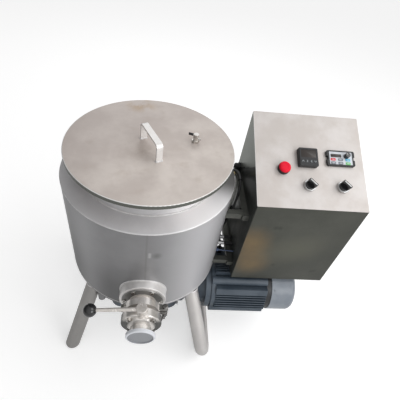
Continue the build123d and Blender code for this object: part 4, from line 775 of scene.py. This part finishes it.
def stretchOf(line, step, end=math.inf):    # the line's points up to a distance, a step apart
    kept, travelled, last = [], 0.0, -math.inf
    for index, spot in enumerate(line):
        travelled += (spot - line[index - 1]).length if index else 0.0
        if travelled <= end and travelled - last >= step:
            kept.append(spot)
            last = travelled
    return kept


def addTube(bm, line, sides, radiusAt):    # rings carried along a line without twist, then bridged
    along = bm.verts.layers.float.new("along")
    around = bm.verts.layers.float_vector.new("around")
    side, travelled, rings = Vector((0, 0, 1)), 0.0, []
    for index, spot in enumerate(line):
        travelled += (spot - line[index - 1]).length if index else 0.0
        ahead = (line[min(index + 1, len(line) - 1)] - line[max(index - 1, 0)]).normalized()
        side = (side - ahead * side.dot(ahead)).normalized()
        basis = Matrix((side, ahead.cross(side), ahead)).transposed().to_4x4()
        made = bmesh.ops.create_circle(bm, segments=sides, radius=radiusAt(travelled),
                                       matrix=Matrix.Translation(spot) @ basis)["verts"]
        for count, vert in enumerate(made):
            turn = 2 * math.pi * count / sides
            vert[along] = travelled
            vert[around] = (math.cos(turn), math.sin(turn), 0)
        rings.append(list({edge for vert in made for edge in vert.link_edges}))
    for first, second in zip(rings, rings[1:]):
        bmesh.ops.bridge_loops(bm, edges=first + second)
    for rim in (rings[0], rings[-1]):
        bmesh.ops.edgeloop_fill(bm, edges=rim)


def addTubePiece(name, line, sides, radiusAt, slotName, finish=None):
    bm = bmesh.new()
    addTube(bm, line, sides, radiusAt)
    return addPiece(name, bm, "machine", slotName, finish)


def braid(name, look):    # woven wire over a hose: two sets of strands crossing
    material, tree, shader = newFinish(name, Metallic=look["metallic"], Roughness=look["rough"])
    along = attribute(tree, "along", "Fac")
    x, y, z = split(attribute(tree, "around", "Vector"))
    turn = y.angleWith(x) * look["strands"]
    run = along * (2 * math.pi / look["pitch"])
    weave = (turn + run).sine() * (turn - run).sine()
    cloud = noise(space(tree), look["cloud"], 3.0)
    colour = blend(ease(weave, *look["weaveSpan"]), look["dark"], look["light"])
    feed(shader, "Base Color", blend(ease(cloud, *look["cloudSpan"]) * look["cloudShare"], colour, look["dark"]))
    feed(shader, "Normal", relief(weave, look["depth"], look["relief"]))
    return material


braidFinish = braid("braidedLead", dict(dark=(0.36, 0.365, 0.345), light=(0.70, 0.70, 0.67), rough=0.40, strands=6,
                                        metallic=0.35, pitch=7.0 * mm, weaveSpan=(-0.5, 0.6), cloud=120.0,
                                        cloudSpan=(0.5, 0.75), cloudShare=0.4, depth=0.35 * mm, relief=0.7))
leadFinish = plastic("leadJacket", dict(dark=(0.010, 0.010, 0.011), light=(0.022, 0.022, 0.024), cloud=90.0,
                                        texture=700.0, rough=0.34, play=0.12, depth=0.03 * mm))
sleeveFinish = plastic("ribbedSleeve", dict(dark=(0.012, 0.012, 0.013), light=(0.030, 0.030, 0.032), cloud=70.0,
                                            texture=900.0, rough=0.30, play=0.12, depth=0.03 * mm))


def makeMotorLead():
    line = routeLine(motorLead["route"], motorLead["fineness"])
    core = stretchOf(line, motorLead["step"])
    lead = addTubePiece("motorLead", core, motorLead["sides"], lambda travelled: motorLead["radius"],
                        "black_plastic", leadFinish)
    sleeved = stretchOf(line, motorLead["sleeveStep"], motorLead["sleeve"])
    wave = 2 * math.pi / motorLead["ribPitch"]
    sleeve = addTubePiece("leadSleeve", sleeved, motorLead["sleeveSides"],
                          lambda travelled: motorLead["sleeveRadius"] + motorLead["rib"] * math.sin(travelled * wave),
                          "black_plastic", sleeveFinish)
    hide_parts("motor_conduit")


def makeProbeLead():
    line = routeLine(probeLead["route"], probeLead["fineness"])
    core = stretchOf(line, probeLead["step"])
    lead = addTubePiece("probeLead", core, probeLead["sides"], lambda travelled: probeLead["radius"],
                        "grey_lead", braidFinish)
    crimped = stretchOf(line, probeLead["crimpStep"], probeLead["crimp"])
    crimp = addTubePiece("probeCrimp", crimped, probeLead["crimpSides"], lambda travelled: probeLead["crimpRadius"],
                         "machined_steel")
    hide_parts("probe_lead")


makeMotorLead()
makeProbeLead()
print("leads run")


# welds on the vessel, the legs and the lid

weld = dict(neckRadius=169.6 * mm, neckBead=2.0 * mm, rimBead=1.1 * mm, footBead=1.0 * mm, legBead=2.0 * mm,
            legReach=193.0 * mm, legRadius=21.0 * mm, leftTurn=44.5, leftSplay=23.8, rightTurn=46.0,
            hoopTurn=63.3, hoopSplay=32.1, padRadius=58.9 * mm, padBead=2.0 * mm, sunk=0.4, vesselSteps=240,
            legSteps=64, padSteps=120)
beadFinish = steel("weldBead", dict(dark=(0.60, 0.59, 0.585), light=(0.76, 0.75, 0.75), tint=(0.52, 0.49, 0.46),
                                    cloud=60.0, grain=(300, 300, 300), rough=0.36, play=0.10, metallic=0.3,
                                    depth=0.12 * mm, relief=0.4))


def makeVesselWelds():
    bm = bmesh.new()
    levels = [(weld["neckRadius"], weld["neckBead"], shoulderTop),
              (shellRadius - weld["rimBead"] * weld["sunk"], weld["rimBead"], shellTop),
              (shellRadius - weld["footBead"] * weld["sunk"], weld["footBead"], shellFoot)]
    for radius, bead, height in levels:
        addRing(bm, radius, bead, Matrix.Translation((*vesselAxis.xy, height)), weld["vesselSteps"])
    addPiece("vesselWelds", bm, "machine", "shoulder_steel", beadFinish)


def makeLegWelds():
    bm = bmesh.new()
    left = [(turn, turn, weld["leftSplay"]) for turn in (180 - weld["leftTurn"], 180 + weld["leftTurn"])]
    hoop = [(side * weld["rightTurn"], side * weld["hoopTurn"], weld["hoopSplay"]) for side in (-1, 1)]
    for turn, lean, splay in left + hoop:    # each tube leans, so its foot is an oval
        seat = Matrix.Rotation(math.radians(turn), 4, "Z") @ Vector((weld["legReach"], 0, jacketFoot))
        stretch = Matrix.Scale(1 / math.cos(math.radians(splay)), 4, (1, 0, 0))
        spot = Matrix.Translation(vesselAxis + seat) @ Matrix.Rotation(math.radians(lean), 4, "Z")
        addRing(bm, weld["legRadius"], weld["legBead"], spot @ stretch, weld["legSteps"])
    addPiece("legWelds", bm, "machine", "leg_steel", beadFinish)


def makePadWeld():    # the bead follows the round shell
    bm = bmesh.new()
    facing = Matrix.Translation(outletAxis) @ Matrix.Rotation(math.pi / 2, 4, "X")
    for vert in addRing(bm, weld["padRadius"], weld["padBead"], facing, weld["padSteps"]):
        across = vert.co.x - vesselAxis.x
        vert.co.y += vesselAxis.y - math.sqrt(shellRadius ** 2 - across ** 2)
    addPiece("padWeld", bm, "machine", "polished_steel", beadFinish)


handle = dict(middle=(1.7 * mm, -17.6 * mm), turn=-65.3, footReach=45.75 * mm,
              fillet=(9.5 * mm, 19.5 * mm, 2.0 * mm), filletSoft=(3.5 * mm, 0.9 * mm))


def makeHandleWelds():
    bm = bmesh.new()
    around = Matrix.Rotation(math.radians(handle["turn"]), 4, "Z")
    middle = Matrix.Translation(vesselAxis + Vector((*handle["middle"], lidTop)))
    for side in (-1, 1):
        spot = Matrix.Translation((side * handle["footReach"], 0, 0))
        addSlab(bm, handle["fillet"], handle["filletSoft"], middle @ around @ spot)
    addPiece("handleWelds", bm, "lid_body", "polished_steel", beadFinish)


makeVesselWelds()
makeLegWelds()
makePadWeld()
makeHandleWelds()
print("welds laid")


# lamp, controller, keypad and selectors on the sloped panel

lampTop = dict(height=11.0 * mm, radius=14.3 * mm, ribs=28, rib=(1.2 * mm, 1.1 * mm, 6.4 * mm),
               ribSoft=(0.3 * mm, 0.3 * mm), ringRadius=7.6 * mm, ring=0.5 * mm, ringSteps=48)


def makeLampRibs():
    bm = bmesh.new()
    for count in range(lampTop["ribs"]):
        around = Matrix.Rotation(2 * math.pi * count / lampTop["ribs"], 4, "Z")
        spot = Matrix.Translation((lampTop["radius"], 0, lampTop["rib"][2] / 2))
        addSlab(bm, lampTop["rib"], lampTop["ribSoft"], lampSeat @ around @ spot)
    crown = lampSeat @ Matrix.Translation((0, 0, lampTop["height"]))
    addRing(bm, lampTop["ringRadius"], lampTop["ring"], crown, lampTop["ringSteps"])
    addPiece("lampRibs", bm, "machine", "red_lens")


controller = dict(place=(-1.2 * mm, 71.1 * mm), face=13.0 * mm, windowFloor=11.8 * mm, windowLift=8.0 * mm,
                  window=(37.6 * mm, 20.6 * mm, 0.9 * mm), windowSoft=(1.0 * mm, 0.2 * mm),
                  keyRow=-12.4 * mm, keyPitch=10.2 * mm, key=(8.6 * mm, 8.2 * mm, 0.9 * mm),
                  keySoft=(1.4 * mm, 0.3 * mm), marks=(90.0, 0.0, 180.0, -90.0), markTip=1.3 * mm,
                  stroke=(4.6 * mm, 0.9 * mm, 0.3 * mm), strokeSoft=(0.3 * mm, 0.08 * mm), strokeShare=0.36,
                  strokeLean=45.0)
displayFinish = plastic("displayGlass", dict(dark=(0.010, 0.007, 0.005), light=(0.030, 0.018, 0.012), cloud=50.0,
                                             texture=300.0, rough=0.30, play=0.05, coat=0.1, depth=0.005 * mm))
keyFinish = plastic("darkKeys", dict(dark=(0.020, 0.022, 0.024), light=(0.040, 0.042, 0.045), cloud=200.0,
                                     texture=1600.0, rough=0.42, play=0.1, depth=0.03 * mm))
markFinish = plastic("paleMarks", dict(dark=(0.34, 0.38, 0.40), light=(0.50, 0.53, 0.55), cloud=300.0,
                                       texture=1600.0, rough=0.5, play=0.1, depth=0.01 * mm))


def makeController():
    across, up = controller["place"]
    lift = controller["windowFloor"] + controller["window"][2] / 2
    pane = panelPlace(across, up + controller["windowLift"], lift)
    addSlabPiece("controllerWindow", controller["window"], controller["windowSoft"], pane, "machine",
                 "black_plastic", displayFinish)
    keys = bmesh.new()
    marks = bmesh.new()
    tip = Matrix.Translation((controller["markTip"], 0, controller["key"][2] / 2))
    shift = Matrix.Translation((-controller["stroke"][0] * controller["strokeShare"], 0, 0))
    for index, turn in enumerate(controller["marks"]):
        right = across + (index - 1.5) * controller["keyPitch"]
        key = panelPlace(right, up + controller["keyRow"], controller["face"])
        addSlab(keys, controller["key"], controller["keySoft"], key)
        around = Matrix.Rotation(math.radians(turn), 4, "Z")
        for side in (-1, 1):    # two strokes make a chevron that points its own way
            lean = Matrix.Rotation(math.radians(side * controller["strokeLean"]), 4, "Z")
            addSlab(marks, controller["stroke"], controller["strokeSoft"], key @ around @ tip @ lean @ shift)
    addPiece("controllerKeys", keys, "machine", "black_plastic", keyFinish)
    addPiece("controllerMarks", marks, "machine", "black_plastic", markFinish)


keypad = dict(place=(83.8 * mm, 75.4 * mm), floor=6.2 * mm, face=(62.0 * mm, 36.4 * mm, 0.5 * mm),
              faceSoft=(1.8 * mm, 0.15 * mm), display=(27.2 * mm, 8.4 * mm, 1.0 * mm),
              displaySoft=(0.8 * mm, 0.2 * mm), displayPlace=(-12.1 * mm, 6.2 * mm),
              key=(12.6 * mm, 7.0 * mm, 0.9 * mm), keySoft=(1.6 * mm, 0.25 * mm),
              bar=(6.4 * mm, 1.5 * mm, 0.2 * mm), barSoft=(0.4 * mm, 0.05 * mm),
              columns=(-20.2 * mm, -1.4 * mm, 17.5 * mm), rows=(-4.0 * mm, -13.4 * mm),
              colours=(("red", "grey", "cyan"), ("grey", "grey", "green")))
keyTones = dict(red=((0.66, 0.03, 0.05), (0.82, 0.06, 0.08)), grey=((0.16, 0.18, 0.21), (0.26, 0.28, 0.31)),
                cyan=((0.08, 0.48, 0.72), (0.16, 0.60, 0.82)), green=((0.14, 0.52, 0.16), (0.24, 0.64, 0.25)))
overlayFinish = plastic("keypadOverlay", dict(dark=(0.62, 0.65, 0.70), light=(0.74, 0.77, 0.81), cloud=60.0,
                                              texture=1800.0, rough=0.42, play=0.1, depth=0.02 * mm))


def tonedKeys(tone):
    dark, light = keyTones[tone]
    return plastic(tone + "Key", dict(dark=dark, light=light, cloud=150.0, texture=1500.0, rough=0.4, play=0.1,
                                      depth=0.02 * mm))


def makeKeypad():
    across, up = keypad["place"]
    top = keypad["floor"] + keypad["face"][2]
    middle = panelPlace(across, up, keypad["floor"] + keypad["face"][2] / 2)
    addSlabPiece("keypadFace", keypad["face"], keypad["faceSoft"], middle, "machine", "white_plastic", overlayFinish)
    right, rise = keypad["displayPlace"]
    pane = panelPlace(across + right, up + rise, top)
    addSlabPiece("keypadDisplay", keypad["display"], keypad["displaySoft"], pane, "machine", "black_plastic",
                 displayFinish)
    pads = {tone: bmesh.new() for tone in keyTones}
    bars = bmesh.new()
    for row, tones in zip(keypad["rows"], keypad["colours"]):
        for column, tone in zip(keypad["columns"], tones):
            spot = panelPlace(across + column, up + row, top)
            addSlab(pads[tone], keypad["key"], keypad["keySoft"], spot)
            crown = panelPlace(across + column, up + row, top + keypad["key"][2] / 2)
            addSlab(bars, keypad["bar"], keypad["barSoft"], crown)
    for tone, bm in pads.items():
        addPiece(tone + "Keys", bm, "machine", "white_plastic", tonedKeys(tone))
    addPiece("keyBars", bars, "machine", "white_plastic", overlayFinish)


selector = dict(collar=15.2 * mm, collarHeight=5.6 * mm, flutes=36, flute=0.45 * mm, barTop=25.1 * mm,
                line=(20.0 * mm, 2.2 * mm, 0.5 * mm), lineSoft=(0.5 * mm, 0.15 * mm), barTurn=135.0)
whiteLine = plastic("whiteLine", dict(dark=(0.74, 0.74, 0.73), light=(0.84, 0.84, 0.83), cloud=200.0,
                                      texture=1200.0, rough=0.45, play=0.1, depth=0.01 * mm))


def makeSelectors():
    collars = bmesh.new()
    for side in ("left", "right"):
        across, up = onPanel(jointPlace(side + "_selector_turn"))
        here = panelPlace(across, up)
        before = set(collars.verts)
        rim = bmesh.ops.create_circle(collars, cap_ends=True, segments=2 * selector["flutes"],
                                      radius=selector["collar"])["verts"]
        for vert in rim[::2]:
            vert.co *= 1 - selector["flute"] / selector["collar"]
        base = [face for face in collars.faces if all(vert in rim for vert in face.verts)]
        lid = bmesh.ops.extrude_face_region(collars, geom=base)["geom"]
        raised = [item for item in lid if isinstance(item, bmesh.types.BMVert)]
        bmesh.ops.translate(collars, vec=(0, 0, selector["collarHeight"]), verts=raised)
        bmesh.ops.transform(collars, matrix=here, verts=freshVerts(collars, before))
        turned = panelPlace(across, up, selector["barTop"], math.radians(selector["barTurn"]))
        addSlabPiece(side + "Pointer", selector["line"], selector["lineSoft"], turned, side + "_selector",
                     "black_gloss", whiteLine)
    addPiece("selectorCollars", collars, "machine", "bezel_metal")


dialMark = dict(reach=3.6 * mm, turn=40.0, top=17.1 * mm, size=(1.0 * mm, 4.6 * mm, 0.4 * mm),
                soft=(0.3 * mm, 0.1 * mm))


def makeDialMark():
    across, up = onPanel(jointPlace("speed_turn"))
    turned = panelPlace(across, up, dialMark["top"], math.radians(dialMark["turn"]))
    spot = turned @ Matrix.Translation((0, dialMark["reach"], 0))
    addSlabPiece("dialMark", dialMark["size"], dialMark["soft"], spot, "speed_dial", "black_gloss", whiteLine)


makeLampRibs()
makeController()
makeKeypad()
makeSelectors()
makeDialMark()
print("panel instruments dressed")


# fasteners on the drive, the motor and the box

bolts = dict(shieldReach=65.0 * mm, shieldTurn=25.0, shieldHead=(5.0 * mm, 4.2 * mm), coverReach=76.0 * mm,
             coverHead=(4.4 * mm, 3.6 * mm), coverCount=8, washer=1.2 * mm, washerWidth=1.32, washerEdge=0.2 * mm,
             washerSides=28, headEdge=0.5 * mm)
screws = dict(radius=3.2 * mm, height=2.2 * mm, sides=20, edge=0.88 * mm, edgeSteps=3,
              socket=(0.896 * mm, 0.99 * mm), fanCoverInset=8.0 * mm, fanCoverTurn=45.0, fanCoverSunk=0.4 * mm,
              terminalInset=8.5 * mm, rearInset=9.0 * mm)
quarters = (0, 90, 180, 270)


def addHexBolt(bm, head, place):
    radius, height = head
    washer = bolts["washer"]
    addDrum(bm, radius * bolts["washerWidth"], washer, bolts["washerEdge"], place, bolts["washerSides"])
    addDrum(bm, radius, height, bolts["headEdge"], place @ Matrix.Translation((0, 0, washer)), 6)


def addScrew(bm, spot, out):    # a low round head with a sunk drive
    addDrum(bm, screws["radius"], screws["height"], screws["edge"], Matrix.Translation(spot) @ turnTo(out),
            screws["sides"], screws["edgeSteps"], screws["socket"])


def makeDriveBolts():
    bm = bmesh.new()
    back = turnTo((-1, 0, 0))
    for quarter in quarters:
        turn = math.radians(bolts["shieldTurn"] + quarter)
        away = Vector((0, math.cos(turn), math.sin(turn))) * bolts["shieldReach"]
        face = Vector((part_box("motor_flange")[0].x, driveAxis.y, driveAxis.z)) + away
        addHexBolt(bm, bolts["shieldHead"], Matrix.Translation(face) @ back)
    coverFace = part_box("gearbox_cover")[0].z
    for count in range(bolts["coverCount"]):
        turn = 2 * math.pi * count / bolts["coverCount"]
        away = Vector((math.cos(turn), math.sin(turn), 0)) * bolts["coverReach"]
        spot = Matrix.Translation(vesselAxis + away + Vector((0, 0, coverFace)))
        addHexBolt(bm, bolts["coverHead"], spot @ turnTo((0, 0, -1)))
    addPiece("driveBolts", bm, "machine", "machined_steel")


def makeMotorScrews():
    bm = bmesh.new()
    low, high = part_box("fan_cover")
    reach = (high.y - low.y) / 2 - screws["fanCoverSunk"]
    for quarter in quarters:
        turn = math.radians(screws["fanCoverTurn"] + quarter)
        out = Vector((0, math.cos(turn), math.sin(turn)))
        addScrew(bm, Vector((low.x + screws["fanCoverInset"], driveAxis.y, driveAxis.z)) + out * reach, out)
    addPiece("motorScrews", bm, "machine", "fan_cover_paint")


def makeCoverScrews():
    bm = bmesh.new()
    low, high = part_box("terminal_box")
    inset = screws["terminalInset"]
    for across in (low.x + inset, high.x - inset):
        for level in (low.z + inset, high.z - inset):
            addScrew(bm, (across, high.y, level), (0, 1, 0))
    low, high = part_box("rear_cover")
    inset = screws["rearInset"]
    middle = ((low.x + high.x) / 2, (low.z + high.z) / 2)
    for across in (low.x + inset, middle[0], high.x - inset):
        for level in (low.z + inset, middle[1], high.z - inset):
            if (across, level) != middle:
                addScrew(bm, (across, high.y, level), (0, 1, 0))
    addPiece("coverScrews", bm, "machine", "machined_steel")


makeDriveBolts()
makeMotorScrews()
makeCoverScrews()
print("fasteners set")
